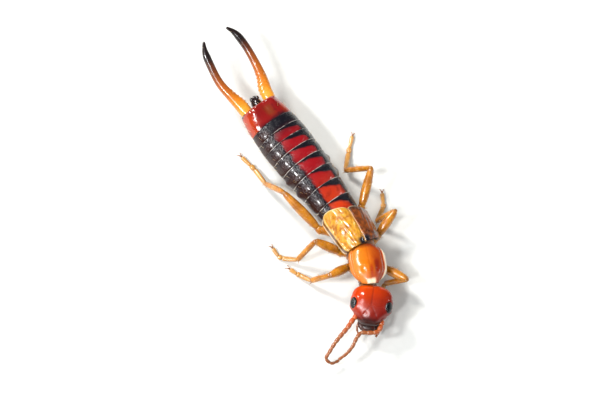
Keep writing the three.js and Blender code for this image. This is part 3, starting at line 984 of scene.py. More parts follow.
@dataclass(frozen=True)
class TegmenFinish:
    """Leathery wing cover, finely wrinkled, with a pale rim; painted shade darkens the hollows of the
    wrinkles, and painted highlights run along its outer fold and edge.
    """

    name: str
    light: str
    deep: str
    rear: str
    shell: Shell = Shell(
        roughness=0.3, coat=0.5, coat_roughness=0.14,
        glow=0.1, bump_strength=0.75, bump_depth=0.03,
    )

    def make(self) -> bpy.types.Material:
        """Builds the material.

        Returns:
            The material.
        """
        paint = Paint(self.name)
        across, along = paint.mark("across"), paint.mark("along")
        wrinkle = paint.noise(5.0, 5.0, (1.0, 1.0, 0.6))
        cloud = paint.noise(1.8, 3.0) - 0.5
        corner = ((1 - along) * 0.5 + cloud * 0.12).smooth(0.8, 0.92) * (1 - across.smooth(0.16, 0.36))
        base = paint.layers(
            # Partly the cover's own mottling, partly painted shade and light: the deep tone follows the
            # hollows of the wrinkles and the light tone their ridges, as the bump does.
            paint.mix(colour(self.deep), colour(self.light), wrinkle.smooth(0.34, 0.62)),
            (colour(self.rear), (along + cloud * 0.25).smooth(0.66, 0.9) * 0.85),
            (colour("0C0A14"), corner),
            (colour("E8C890"), along.smooth(0.955, 0.985) * 0.8),
            # Painted highlight: the pale line along the outer fold.
            (colour("E8C078"), across.band(0.835, 0.865, 0.01) * 0.6),
            (colour("3A1A0A"), across.band(0.88, 0.965, 0.01) * 0.85),
            # The pale outer edge: partly the rim's own pale colour, partly painted highlight.
            (colour("E8D8B8"), across.smooth(0.965, 0.985) * 0.8),
            (colour("D8A058"), (1 - across).smooth(0.965, 0.99) * 0.7),
        )
        height = wrinkle * 0.8 + paint.noise(18.0, 3.0) * 0.35
        return paint.finish(self.shell, base, height, 0.2 + 0.2 * wrinkle)


@dataclass(frozen=True)
class LegFinish:
    """Clear amber legs, browner at the joints."""

    shell: Shell = Shell(
        roughness=0.24, coat=0.5, coat_roughness=0.1,
        glow=0.2, bump_strength=0.3, bump_depth=0.008,
    )

    def make(self) -> bpy.types.Material:
        """Builds the material.

        Returns:
            The material.
        """
        paint = Paint("leg_finish")
        along = paint.mark("along")
        cloud = paint.noise(3.0, 4.0)
        joint = (1 - along.smooth(0.0, 0.16)) * 0.55 + along.smooth(0.86, 1.0) * 0.6
        base = paint.layers(
            paint.mix(colour("9E5E10"), colour("BC7818"), cloud.smooth(0.36, 0.62)),
            (colour("6E3A10"), joint * 0.8),
            (colour("D8B070"), paint.mark("foot") * 0.35),
            (colour("8A5420"), paint.mark("claw")),
        )
        height = paint.noise(20.0, 3.0) * 0.6 + paint.pits(16.0) * 0.3
        return paint.finish(self.shell, base, height, 0.18 + 0.2 * paint.noise(8.0))


@dataclass(frozen=True)
class FeelerFinish:
    """Reddish brown joints with paler bands."""

    shell: Shell = Shell(
        roughness=0.35, coat=0.4, coat_roughness=0.12,
        glow=0.1, bump_strength=0.4, bump_depth=0.006,
    )

    def make(self) -> bpy.types.Material:
        """Builds the material.

        Returns:
            The material.
        """
        paint = Paint("feeler_finish")
        along, share = paint.mark("along"), paint.mark("share")
        base = paint.layers(
            paint.mix(colour("B4480C"), colour("8E4E24"), along.smooth(0.0, 0.5)),
            (colour("C8925A"), (1 - share.smooth(0.0, 0.2)) * 0.55),
            (colour("3A160A"), share.smooth(0.85, 1.0) * 0.6),
        )
        return paint.finish(self.shell, base, paint.noise(30.0), 0.3 + 0.25 * paint.noise(10.0))


@dataclass(frozen=True)
class PlainFinish:
    """Two near tones clouded together over a fine grain."""

    name: str
    light: str
    deep: str
    shell: Shell = Shell()
    grain: float = 14.0

    def make(self) -> bpy.types.Material:
        """Builds the material.

        Returns:
            The material.
        """
        paint = Paint(self.name)
        cloud = paint.noise(3.0, 4.0)
        base = paint.mix(colour(self.deep), colour(self.light), cloud.smooth(0.35, 0.65))
        rough = self.shell.roughness + 0.15 * cloud
        return paint.finish(self.shell, base, paint.noise(self.grain, 3.0), rough)


# Parts of the body


@dataclass
class Abdomen:
    """Eight overlapping rings and the broad last one; sizes along it are measured back from its front."""

    line: BodyLine
    margins: tuple[float, ...] = (0.62, 1.38, 2.08, 2.75, 3.36, 3.92, 4.4, 4.96)
    widths: tuple[float, ...] = (0.8, 0.93, 1.02, 1.1, 1.13, 1.05, 0.88)
    width_stations: tuple[float, ...] = (0, 1, 2, 3, 4, 5, 5.9)
    length: float = 5.9
    power: float = 2.3
    tuck: float = 0.05
    lip: float = 0.02
    swell: float = 0.022
    overlap: float = 0.02
    last_front: float = 4.86
    last_edge: float = 5.8
    last_turn: float = 0.13
    last_closing: float = 0.135
    sides: int = 144
    knobs: tuple[float, ...] = (1.74, 2.42)
    dark_knobs: tuple[tuple[tuple[float, float, float], tuple[float, float, float]], ...] = (
        ((0.03, 6.08, 1.25), (0.23, 0.27, 0.27)),
        ((-0.11, 6.27, 1.4), (0.08, 0.09, 0.09)),
        ((0.03, 6.31, 1.42), (0.07, 0.08, 0.08)),
        ((0.17, 6.27, 1.4), (0.08, 0.09, 0.09)),
        ((-0.04, 6.36, 1.26), (0.08, 0.09, 0.09)),
        ((0.12, 6.36, 1.26), (0.08, 0.09, 0.09)),
        ((-0.78, 5.9, 1.38), (0.06, 0.07, 0.06)),
        ((-0.83, 5.88, 1.24), (0.07, 0.07, 0.07)),
        ((-0.81, 5.9, 1.1), (0.05, 0.06, 0.06)),
        ((0.78, 5.9, 1.38), (0.06, 0.07, 0.06)),
        ((0.83, 5.88, 1.24), (0.07, 0.07, 0.07)),
    )

    def size(self, back: Array) -> tuple[Array, Array, Array]:
        """Gives the size of the section.

        Args:
            back: Distance back from the front.

        Returns:
            Half width, top and bottom.
        """
        half = np.interp(back, self.width_stations, self.widths)
        top = 1.6 + 0.3 * ease(back, 0.0, 2.4) - 0.12 * ease(back, 4.4, 5.9)
        bottom = 0.55 - 0.13 * ease(back, 0, 1.5) + 0.16 * ease(back, 4.2, 5.9)
        return half, top, bottom

    def _ring_rise(self, share: Array) -> Array:
        """How proud a ring stands along itself: tucked in front, with a thin lip behind."""
        swell = self.swell * np.sin(math.pi * np.clip(share, 0, 1))
        return swell - self.tuck * (1 - ease(share, 0.0, 0.22)) + self.lip * ease(share, 0.9, 0.97)

    def rings(self) -> bpy.types.Object:
        """Builds the overlapping rings as one piece; the eighth runs under the last ring.

        Returns:
            The rings.
        """
        mould = Mould(self.line)
        turn = turns(self.sides)
        shares = np.array(
            [0, 0.03, 0.08, 0.14, 0.22, 0.32, 0.44, 0.56, 0.68, 0.78, 0.86, 0.92, 0.96, 0.985, 1.0]
        )
        back, share = [], []
        fronts = (-0.12, *self.margins[:-1])
        for index, (front, rear) in enumerate(zip(fronts, self.margins)):
            steps = shares if index < len(self.margins) - 1 else shares[:-3]
            overlap = self.overlap if index else 0
            back.append(front - overlap + (rear - front + overlap) * steps)
            share.append(steps)
        back, share = np.concatenate(back)[:, None], np.concatenate(share)[:, None]
        half, top, bottom = self.size(back)
        rise = self._ring_rise(share)
        fold = 0.035 * hump(np.sin(turn), -0.05, 0.09)
        left, up = body_section(turn, half + rise - fold, top + rise, bottom - rise, self.power, 0.93)
        for knob in self.knobs:
            swell = 0.1 * hump(back, knob, 0.15) * hump(np.sin(turn), 0.16, 0.16)
            left = left + np.sign(left) * swell
        bow = 0.07 * np.clip(np.sin(turn), 0, 1) ** 2 * share
        rings = self.line.place(-(back + bow), left, up)
        mould.shell(rings, side=left / half, share=share, along=back / self.length,
                    above=np.sin(turn) + 0 * back, hairy=ease(np.abs(left / half), 0.66, 0.86))
        return mould.cast("abdomen_rings", AbdomenFinish().make())

    def last_ring(self) -> bpy.types.Object:
        """Builds the last ring, with its swellings, middle groove and knobs over the forceps.

        Returns:
            The last ring.
        """
        mould = Mould(self.line)
        turn = turns(self.sides)
        even = np.linspace(self.last_front, self.last_edge - 0.02, 34)
        rounding = self.last_edge + self.last_turn * np.sin(np.linspace(0, 1.45, 12))
        back = np.concatenate([even, rounding])[:, None]
        half, top, bottom = self.size(np.minimum(back, self.length))
        share = (back - self.last_front) / (self.last_edge + self.last_turn - self.last_front)
        closing = np.sqrt(np.clip(1 - ((back - self.last_edge) / self.last_closing).clip(0, 1) ** 2, 0, 1))
        round_end = 0.9 + 0.1 * closing
        rise = 0.035 * ease(share, 0.02, 0.3) - 0.02
        left, up = body_section(turn, (half + rise) * round_end, top + rise, bottom - rise, 2.5, 0.95)
        side_line = bottom + 0.45 * (top - bottom)
        up = side_line + (up - side_line) * round_end
        above = ease(np.sin(turn), 0.1, 0.5)
        for centre in (-0.5, 0.5):
            up = up + 0.1 * hump(left, centre, 0.24) * hump(share, 0.78, 0.26) * above
        up = up - 0.05 * hump(left, 0.0, 0.07) * hump(share, 0.75, 0.3) * above
        for centre in (-0.68, -0.3, 0.3, 0.68):
            up = up + 0.05 * hump(left, centre, 0.05) * hump(share, 0.93, 0.05) * above
        rings = self.line.place(-(back + 0 * turn), left, up)
        mould.shell(rings, side=left / half, along=share, above=np.sin(turn) + 0 * back,
                    hairy=ease(np.abs(left / half), 0.4, 0.8))
        return mould.cast("last_ring", TailFinish().make())

    def pygidium(self) -> bpy.types.Object:
        """Builds the small plate between the forceps, with the dark knobs on it and beside their roots.

        Returns:
            The plate and its knobs.
        """
        mould = Mould(self.line)
        for centre, half in self.dark_knobs:
            mould.shell(ball(centre, half, 20, 28))
        shell = Shell(roughness=0.2, coat=0.6)
        return mould.cast("pygidium_plate", PlainFinish("pygidium_finish", "1E0A0C", "0A0608", shell).make())

    def build(self) -> list[bpy.types.Object]:
        """Builds and places every piece of the abdomen.

        Returns:
            The pieces.
        """
        return [
            finish_piece(self.rings(), "abdomen", "abdomen"),
            finish_piece(self.last_ring(), "tail", "last_tergite"),
            finish_piece(self.pygidium(), "tail", "pygidium"),
        ]


def ball(centre: Sequence[float], half: Sequence[float], rows: int = 24, sides: int = 32,
         shape: Callable[[Array, Array, Array], tuple[Array, Array, Array]] | None = None) -> Array:
    """Rings of a rounded form whose poles lie along y.

    Args:
        centre: Its middle.
        half: Half its size along each axis.
        rows: Rings between the poles.
        sides: Points in a ring.
        shape: Moves the points of the unit ball before they are scaled.

    Returns:
        The rings.
    """
    latitude = np.linspace(0, math.pi, rows + 2)[1:-1, None]
    turn = turns(sides)
    x = np.sin(latitude) * np.cos(turn)
    y = -np.cos(latitude) + 0 * turn
    z = np.sin(latitude) * np.sin(turn)
    if shape:
        x, y, z = shape(x, y, z)
    return np.stack([centre[0] + x * half[0], centre[1] + y * half[1], centre[2] + z * half[2]], axis=-1)


@dataclass
class Forceps:
    """The two plain, widely separate blades."""

    line: BodyLine
    half: float = 0.25
    paths: dict[Side, tuple[tuple[float, float, float], ...]] = field(default_factory=lambda: {
        Side.RIGHT: (
            (-0.5, 5.7, 1.22), (-0.57, 5.98, 1.25), (-0.69, 6.9, 1.32), (-0.79, 7.65, 1.45),
            (-0.72, 8.41, 1.65), (-0.59, 9.06, 1.85), (-0.4, 9.46, 2.0),
        ),
        Side.LEFT: (
            (0.6, 5.7, 1.22), (0.69, 6.12, 1.25), (0.96, 6.95, 1.32), (1.11, 7.78, 1.45),
            (1.13, 8.49, 1.65), (1.02, 9.1, 1.85), (0.8, 9.45, 2.0),
        ),
    })

    def blade(self, side: Side, material: bpy.types.Material) -> bpy.types.Object:
        """Builds one blade, with the low teeth on the inner side of its root.

        Args:
            side: Which blade it is.
            material: Its finish.

        Returns:
            The blade.
        """
        path = smooth_path(self.paths[side], 160)
        share = np.linspace(0, 1, len(path))
        taper = (1 - 0.3 * ease(share, 0, 0.7)) * (1 - 0.6 * ease(share, 0.8, 1.0))
        radius = self.half * taper * end_round(share, 40)
        radius = radius * (1 + 0.08 * hump(share, 0.1, 0.05))
        rings = tube(path, radius, radius * 0.92, 40)
        middle = path[:, None]
        turn = turns(40)
        inner = np.clip(-np.cos(turn) * side.value, 0, 1) ** 3
        toothed = ease(share, 0.12, 0.16) * (1 - ease(share, 0.36, 0.42))
        teeth = np.maximum(0, np.sin(share * 140)) ** 2 * toothed
        flange = 0.35 * hump(share, 0.2, 0.09)
        grow = 1 + inner * (0.16 * teeth + flange)[:, None]
        rings = middle + (rings - middle) * grow[:, :, None]
        mould = Mould(self.line)
        mould.shell(rings, along=share[:, None], hairy=1.0)
        return mould.cast(f"forceps_blade_{side.word}", material)

    def build(self) -> list[bpy.types.Object]:
        """Builds and places both blades."""
        material = ForcepsFinish().make()
        return [finish_piece(self.blade(side, material), "forceps", f"forceps_{side.word}") for side in Side]


@dataclass
class Trunk:
    """The soft body under the plates, from inside the head to under the abdomen's first ring."""

    line: BodyLine
    front: float = 2.95
    half_width: float = 0.66
    top: float = 1.42
    bottom: float = 0.5
    wing_lift: float = 0.28

    def skin(self) -> bpy.types.Object:
        """Builds the skin of neck and thorax, which also closes the slit to the abdomen.

        Returns:
            The skin.
        """
        mould = Mould(self.line)
        turn = turns(72)
        forward = np.linspace(-0.35, self.front + 0.75, 110)[:, None]
        taper = ease(forward, self.front - 0.9, self.front + 0.1)
        narrow = ease(forward, self.front - 0.15, self.front + 0.2)
        half = self.half_width * (1 - 0.28 * taper) * (1 - 0.22 * narrow)
        lift = ease(forward, self.front + 0.1, self.front + 0.7)
        under_wings = self.wing_lift * ease(forward, -0.1, 0.25) * (1 - ease(forward, 1.3, 1.9))
        top = self.top - 0.04 * taper + 0.03 * narrow + under_wings + 0.25 * lift
        bottom = self.bottom + 0.15 * taper + 0.16 * narrow + 0.33 * lift
        folds = 0.014 * np.sin(forward * 34) * ease(forward, self.front - 0.1, self.front + 0.1)
        plates = 0.03 * (hump(forward, 0.98, 0.05) + hump(forward, 1.96, 0.05))
        left, up = body_section(turn, half + folds - plates, top, bottom + plates, 2.3)
        mould.shell(self.line.place(forward, left, up))
        shell = Shell(roughness=0.35, coat=0.25, bump_strength=0.6, bump_depth=0.02)
        return mould.cast("body_skin", PlainFinish("skin_finish", "A05E22", "4A240E", shell, 9.0).make())

    def build(self) -> list[bpy.types.Object]:
        """Builds and places the skin."""
        return [finish_piece(self.skin(), "thorax", "thorax", "neck")]


@dataclass
class BackPlates:
    """The wing covers and the shield behind the head."""

    line: BodyLine
    gap: float = 0.2
    tegmen_length: float = 1.66
    tegmen_top: float = 2.04
    tegmen_drop: float = 0.56
    tegmen_flare: float = 0.08
    tegmen_hang: float = 0.32
    rim_share: float = 0.86
    tegmen_spans: dict[Side, float] = field(default_factory=lambda: {Side.LEFT: 0.86, Side.RIGHT: 0.97})
    tegmen_skews: dict[Side, float] = field(default_factory=lambda: {Side.LEFT: -0.28, Side.RIGHT: 0.26})
    pronotum_length: float = 1.46
    pronotum_half_width: float = 0.79
    pronotum_top: float = 1.94

    def _set_on_line(self, forward: float, left: Array, back: Array, up: Array) -> Array:
        """Places a flat form on the line, turned to the heading there.

        Args:
            forward: Where on the line its middle stands.
            left: Steps to the left.
            back: Steps back.
            up: Heights over the floor.

        Returns:
            The points.
        """
        heading = float(self.line.heading(forward))
        at = self.line.place(forward, 0, 0)
        x = at[0] + left * math.cos(heading) + back * math.sin(heading)
        y = at[1] - left * math.sin(heading) + back * math.cos(heading)
        return np.stack(np.broadcast_arrays(x, y, up), axis=-1)

    @staticmethod
    def _thin_edge(inset: Array, steepness: float) -> Array:
        """Rises roundly from 0 at a plate's edge to 1 inside it."""
        return np.minimum(1, steepness * inset) ** 0.5

    def _plate(self, name: str, middle: float, face: tuple[Array, Array, Array], thick: Array,
               material: bpy.types.Material, **marks: Array) -> bpy.types.Object:
        """Casts a thin plate from its upper face, whose rows run across the body.

        Args:
            name: The plate's name.
            middle: Where its middle stands on the body's line.
            face: Steps to the left, steps back and heights of the upper face.
            thick: Its thickness at each point.
            material: Its finish.
            **marks: Numbers on the upper face, which the lower face repeats.

        Returns:
            The plate.
        """
        left, back, up = face
        upper = self._set_on_line(middle, left, back, up)
        lower = self._set_on_line(middle, left, back, up - thick)
        wide = {key: np.broadcast_to(value, upper.shape[:2]) for key, value in marks.items()}
        mould = Mould(self.line)
        both = {key: np.concatenate([value, value[:, ::-1]], axis=1) for key, value in wide.items()}
        mould.shell(np.concatenate([upper, lower[:, ::-1]], axis=1), **both)
        return mould.cast(name, material)

    def tegmen(self, side: Side) -> bpy.types.Object:
        """Builds one wing cover: domed, turned down along its outer edge, thin at the rim.

        Args:
            side: Which cover it is.

        Returns:
            The wing cover.
        """
        rows, columns = 90, 70
        v = np.linspace(-1, 1, rows)[:, None]
        share = rounded_steps(columns)[None, :]
        inner = 0.012
        span, skew = self.tegmen_spans[side], self.tegmen_skews[side]
        rounding = 1 - 0.12 * np.maximum(0, v) ** 8 - 0.1 * np.maximum(0, -v) ** 8
        reach = np.minimum(share / self.rim_share, 1) * 0.97 + 0.03 * share
        out = inner + (span - inner) * reach * rounding * (1 + self.tegmen_flare * v)
        rear = skew * reach - 0.1 * (2 * reach - 1) ** 4
        back = v * (self.tegmen_length / 2 + 0.04) + rear * np.maximum(0, v) ** 2
        dome = self.tegmen_drop * (out / span) ** 2.8
        top = self.tegmen_top - dome - 0.1 * np.abs(v) ** 4 - 0.03 * hump(share, 0.0, 0.03)
        wrinkles = 0.016 * np.sin(9 * back + 5 * np.sin(7 * out)) * np.sin(11 * out + 3 * back)
        shoulder = 0.03 * hump(share, 0.84, 0.025) + 0.025 * hump(share, 0.66, 0.1) * hump(v, -0.3, 0.6)
        edge = self._thin_edge(np.minimum(share, 1 - share), 12) * self._thin_edge(1 - np.abs(v), 14)
        top = top + wrinkles * edge + shoulder
        thick = 0.02 + 0.16 * edge
        hang = self.tegmen_hang * np.clip((share - self.rim_share) / (1 - self.rim_share), 0, 1)
        middle = self.tegmen_length / 2 - 0.03
        face = (side.value * out, back, top - hang)
        # The left cover's tones are darker than the right's: painted shade, as the left cover lies in shadow.
        tones = {
            Side.RIGHT: ("CC9020", "9C5C0C", "B88420"),
            Side.LEFT: ("84400E", "4C2208", "1C0C08"),
        }[side]
        material = TegmenFinish(f"tegmen_finish_{side.word}", *tones).make()
        return self._plate(f"wing_cover_{side.word}", middle, face, thick, material, across=share, along=v)

    def pronotum(self) -> bpy.types.Object:
        """Builds the shield: a domed disc in a flat, clear border, with a groove along its middle.

        Returns:
            The shield.
        """
        rows, columns = 96, 110
        v = np.linspace(-1, 1, rows)[:, None]
        u = (2 * rounded_steps(columns) - 1)[None, :]
        rounding = 1 - 0.22 * np.maximum(0, v) ** 4 - 0.46 * np.maximum(0, -v) ** 3
        out = self.pronotum_half_width * u * rounding
        bow = 0.12 * (1 - u * u) * np.maximum(0, v)
        lip = 0.22 * np.clip(1 - (u / 0.95) ** 4, 0, 1) * np.maximum(0, -v) ** 8
        back = v * self.pronotum_length / 2 + bow - lip - 0.06
        crown = 0.36 * (1 - np.abs(u) ** 2.6)
        border = 0.05 * ease(np.abs(u), 0.8, 0.97) - 0.035 * hump(np.abs(u), 0.8, 0.05)
        groove = 0.015 * hump(u, 0, 0.04) * hump(v, -0.05, 0.8)
        hump_front = 0.07 * hump(v, -0.35, 0.4) * (1 - u * u)
        dents = 0.035 * (hump(u, -0.38, 0.12) + hump(u, 0.38, 0.12)) * hump(v, -0.45, 0.18)
        cross = 0.01 * hump(v, 0.12, 0.08) * hump(u, 0, 0.5)
        top = self.pronotum_top - 0.36 + crown + border - groove + hump_front - dents - cross
        uneven = 0.012 * np.sin(7 * u + 3 * v) * np.sin(5 * v - 2 * u)
        top = top - 0.08 * np.abs(v) ** 4 + 0.02 * hump(v, -0.97, 0.04) + uneven
        edge = self._thin_edge(1 - np.abs(u), 9) * self._thin_edge(1 - np.abs(v), 12)
        thick = 0.02 + 0.13 * edge
        middle = self.tegmen_length + self.gap + self.pronotum_length / 2 - 0.06
        face = (out, back, top)
        return self._plate("pronotum_shield", middle, face, thick, PronotumFinish().make(), side=u, along=v)

    def build(self) -> list[bpy.types.Object]:
        """Builds and places the plates."""
        covers = [finish_piece(self.tegmen(side), "tegmen", f"tegmen_{side.word}") for side in Side]
        return covers + [finish_piece(self.pronotum(), "pronotum", "pronotum")]


@dataclass
class Head:
    """Head capsule, eyes, lip, jaws, palps and feelers."""

    line: BodyLine
    centre: tuple[float, float, float] = (-1.57, -3.96, 1.29)
    yaw: float = 46
    pitch: float = 15
    roll: float = 8
    half_length: float = 0.88
    half_width: float = 0.88
    half_height: float = 0.5
    eye_half: tuple[float, float, float] = (0.22, 0.3, 0.25)
    eye_at: tuple[float, float, float] = (0.67, 0.01, 0.15)
    eye_core_inset: float = 0.003
    facet_radius: float = 0.03
    facet_inset: float = 0.011
    facet_height: float = 0.4
    feeler_socket: tuple[float, float, float] = (0.52, -0.52, 0.02)
    feeler_thickness: tuple[float, float] = (0.24, 0.13)
    feelers: dict[Side, tuple[tuple[float, float, float], ...]] = field(default_factory=lambda: {
        Side.RIGHT: (
            (-2.2, -3.9, 1.15), (-2.57, -3.99, 1.12), (-2.95, -4.13, 1.1), (-3.34, -4.23, 1.05),
            (-3.77, -4.35, 0.95), (-4.12, -4.49, 0.8), (-4.36, -4.61, 0.6), (-4.24, -4.86, 0.42),
            (-3.83, -4.93, 0.3),
        ),
        Side.LEFT: (
            (-1.42, -4.42, 1.2), (-1.64, -4.8, 1.17), (-2.03, -5.01, 1.2), (-2.38, -4.84, 1.2),
            (-2.65, -4.66, 1.2), (-2.91, -4.72, 1.2), (-3.31, -4.93, 1.15), (-3.7, -5.03, 1.1),
            (-4.14, -5.04, 1.05),
        ),
    })

    def __post_init__(self) -> None:
        """Works out the turn from the head's own axes to the body's."""
        turn = (
            Matrix.Rotation(math.radians(-self.yaw), 3, "Z")
            @ Matrix.Rotation(math.radians(-self.roll), 3, "Y")
            @ Matrix.Rotation(math.radians(self.pitch), 3, "X")
        )
        self.turn = np.array(turn)

    def place(self, points: Array) -> Array:
        """Turns points from the head's own axes to the body's."""
        return points @ self.turn.T + np.array(self.centre)

    def _breadth(self, along: Array) -> Array:
        """Half the width along the head, as a share of the widest.

        Args:
            along: Places along the head, from -1 in front to 1 behind.

        Returns:
            The shares.
        """
        rear = (1 - np.maximum(0, along) ** 4.2) ** 0.5
        front = (1 - np.maximum(0, -along) ** 6) ** 0.5
        return rear * front * (1 - 0.42 * ease(-along, 0.1, 0.8))

    def _local(self, along: Array, turn: Array) -> tuple[Array, Array, Array]:
        """The capsule's smooth form in the head's own axes.

        Args:
            along: Places along the head, from -1 in front to 1 behind.
            turn: Angles round it.

        Returns:
            Steps to the left, steps back and heights.
        """
        left = signed_power(np.cos(turn), 0.86) * self.half_width * self._breadth(along)
        up = signed_power(np.sin(turn), 0.92) * self.half_height * (1 - np.abs(along) ** 2.6) ** 0.5
        return left, along * self.half_length + 0 * turn, up

    def capsule(self) -> bpy.types.Object:
        """Builds the head capsule with its sutures, eye rims and feeler sockets.

        Returns:
            The capsule.
        """
        along = -np.cos(np.linspace(0.04, math.pi - 0.04, 150))[:, None]
        turn = turns(160)
        left, back, up = self._local(along, turn)
        above = ease(np.sin(turn), 0.05, 0.4)
        arms = np.abs(np.abs(left) - 0.62 * np.maximum(0, -0.02 - back))
        fork = hump(arms, 0, 0.018) * ease(-back, 0.0, 0.05) * (1 - ease(-back, 0.5, 0.62))
        split = hump(left, 0, 0.016) * ease(back, -0.06, 0.0) + fork
        lip_line = hump(back, -0.74, 0.022) * ease(0.5 - np.abs(left), 0, 0.1)
        dents = hump(np.abs(left), 0.2, 0.11) * hump(back, -0.42, 0.13)
        crown = hump(np.abs(left), 0.34, 0.22) * hump(back, 0.36, 0.3)
        up = up + above * (0.035 * crown - 0.012 * split - 0.012 * lip_line - 0.03 * dents)
        surface = np.stack(np.broadcast_arrays(np.abs(left), back, up), axis=-1)
        eye = np.linalg.norm((surface - self.eye_at) / (np.array(self.eye_half) + 0.05), axis=-1)
        socket = np.linalg.norm(surface - self.feeler_socket, axis=-1)
        rim = 0.018 * hump(eye, 1.0, 0.13) + 0.03 * hump(socket, 0.16, 0.045)
        outward = unit(np.stack([left, 0.4 * back, up], axis=-1))
        points = np.stack(np.broadcast_arrays(left, back, up), axis=-1) + outward * rim[..., None]
        mould = Mould(self.line)
        mould.shell(self.place(points), side=left / self.half_width, along=along,
                    above=up / self.half_height, suture=(split + lip_line) * above)
        return mould.cast("head_capsule", HeadFinish().make())

    def eye(self, side: Side) -> bpy.types.Object:
        """Builds one compound eye: a smooth core set all over with small round facets.

        Args:
            side: Which eye it is.

        Returns:
            The eye.
        """
        centre = (side.value * self.eye_at[0], self.eye_at[1], self.eye_at[2])
        mould = Mould(self.line)
        mould.shell(self.place(ball(centre, [h - self.eye_core_inset for h in self.eye_half], 40, 56)))
        shell = Shell(roughness=0.14, coat=0.0, bump_strength=0.1, bump_depth=0.002)
        material = PlainFinish(f"eye_finish_{side.word}", "040509", "020203", shell, 30.0).make()
        core = mould.cast("eye_core", material)
        rig = Rig("eye_facets", Facet=self.facet_radius * MM, Level=1)
        grid = rig.node("GeometryNodeMeshIcoSphere", None, {"Radius": MM, "Subdivisions": 5})
        centre_at = Vector(self.place(np.array([centre]))[0]) * MM + self.line.origin
        turn = Matrix(self.turn.tolist()).to_euler()
        seats = rig.node("GeometryNodeTransform", None,
                         {"Geometry": grid.outputs["Mesh"], "Translation": centre_at, "Rotation": turn,
                          "Scale": tuple(h - self.facet_inset for h in self.eye_half)})
        bead = rig.node("GeometryNodeMeshIcoSphere", None,
                        {"Radius": rig.size("Facet"), "Subdivisions": rig.size("Level")})
        outward = rig.node("GeometryNodeInputNormal").outputs["Normal"]
        facing = rig.node("FunctionNodeAlignRotationToVector", {"axis": "Z"}, {"Vector": outward}).outputs[0]
        set_in = rig.node("GeometryNodeInstanceOnPoints", None,
                          {"Points": seats.outputs[0], "Instance": bead.outputs["Mesh"], "Rotation": facing,
                           "Scale": (1.0, 1.0, self.facet_height)})
        both = rig.node("GeometryNodeJoinGeometry")
        rig.tree.links.new(rig.geometry, both.inputs[0])
        rig.tree.links.new(set_in.outputs[0], both.inputs[0])
        rig.close(both.outputs[0], material)
        eye = rig.grow(f"compound_eye_{side.word}", core)
        bpy.data.objects.remove(core)
        return eye

    def mouth(self) -> list[bpy.types.Object]:
        """Builds the lip and the pair of jaws below it.

        Returns:
            The lip and the jaws, placed.
        """
        lip = Mould(self.line)
        lip.shell(self.place(ball((0, -0.93, -0.12), (0.3, 0.17, 0.15), 30, 40, self._lip_shape)))
        shell = Shell(roughness=0.4, coat=0.1, bump_strength=0.4)
        dark = PlainFinish("mouth_finish", "4A1A0C", "1A0A06", shell).make()
        jaws = Mould(self.line)
        for side in Side:
            path = smooth_path([
                (side.value * 0.3, -0.52, -0.34), (side.value * 0.33, -0.78, -0.36),
                (side.value * 0.22, -0.98, -0.36), (side.value * 0.02, -1.03, -0.34),
            ], 60)
            share = np.linspace(0, 1, 60)
            teeth = 1 + 0.12 * np.sin(share * 60) * ease(share, 0.5, 0.7)
            wide = 0.14 * (1 - 0.75 * ease(share, 0.3, 1.0)) * teeth
            high = 0.1 * (1 - 0.6 * ease(share, 0.5, 1.0))
            jaws.shell(self.place(tube(path, wide, high, 20)))
        jaws.shell(self.place(ball((0, -0.62, -0.38), (0.3, 0.3, 0.13), 24, 32)))
        return [
            finish_piece(lip.cast("upper_lip", dark), "mouth", "labrum"),
            finish_piece(jaws.cast("jaw_pair", dark), "mouth", "jaws"),
        ]

    @staticmethod
    def _lip_shape(x: Array, y: Array, z: Array) -> tuple[Array, Array, Array]:
        """Squares the lip's front and notches its middle."""
        notch = 0.12 * hump(x, 0, 0.18) * ease(-y, 0.3, 1.0)
        return signed_power(x, 0.8), y + notch, z

    def palp(self, side: Side, material: bpy.types.Material) -> bpy.types.Object:
        """Builds one palp of five joints.

        Args:
            side: Which palp it is.
            material: Its finish.

        Returns:
            The palp.
        """
        path = smooth_path([(side.value * x, y, z) for x, y, z in (
            (0.3, -0.5, -0.4), (0.44, -0.74, -0.55), (0.46, -1.0, -0.5), (0.36, -1.22, -0.42),
        )], 60)
        feeler = JointedFeeler(5, 0.13, 0.09, 0.3)
        return feeler.grow(f"mouth_palp_{side.word}", self.place(path), self.line, material)

    def build(self) -> list[bpy.types.Object]:
        """Builds and places every piece of the head.

        Returns:
            The pieces.
        """
        pieces = [finish_piece(self.capsule(), "head", "head")]
        pieces += self.mouth()
        material = FeelerFinish().make()
        for side in Side:
            pieces.append(finish_piece(self.eye(side), "eye", f"eye_{side.word}"))
            pieces.append(finish_piece(self.palp(side, material), "antenna", f"palp_{side.word}"))
            feeler = JointedFeeler(12, *self.feeler_thickness, 0.22)
            path = smooth_path(self.feelers[side], 200)
            antenna = feeler.grow(f"feeler_{side.word}", path, self.line, material)
            pieces.append(finish_piece(antenna, "antenna", f"antenna_{side.word}"))
        return pieces


@dataclass(frozen=True)
class LegPose:
    """Where the joints of one leg stand; the root is on the body's line."""

    root: tuple[float, float, float]
    hip: tuple[float, float, float]
    knee: tuple[float, float, float]
    ankle: tuple[float, float, float]
    foot: tuple[float, float, float]
    toe: tuple[float, float, float]


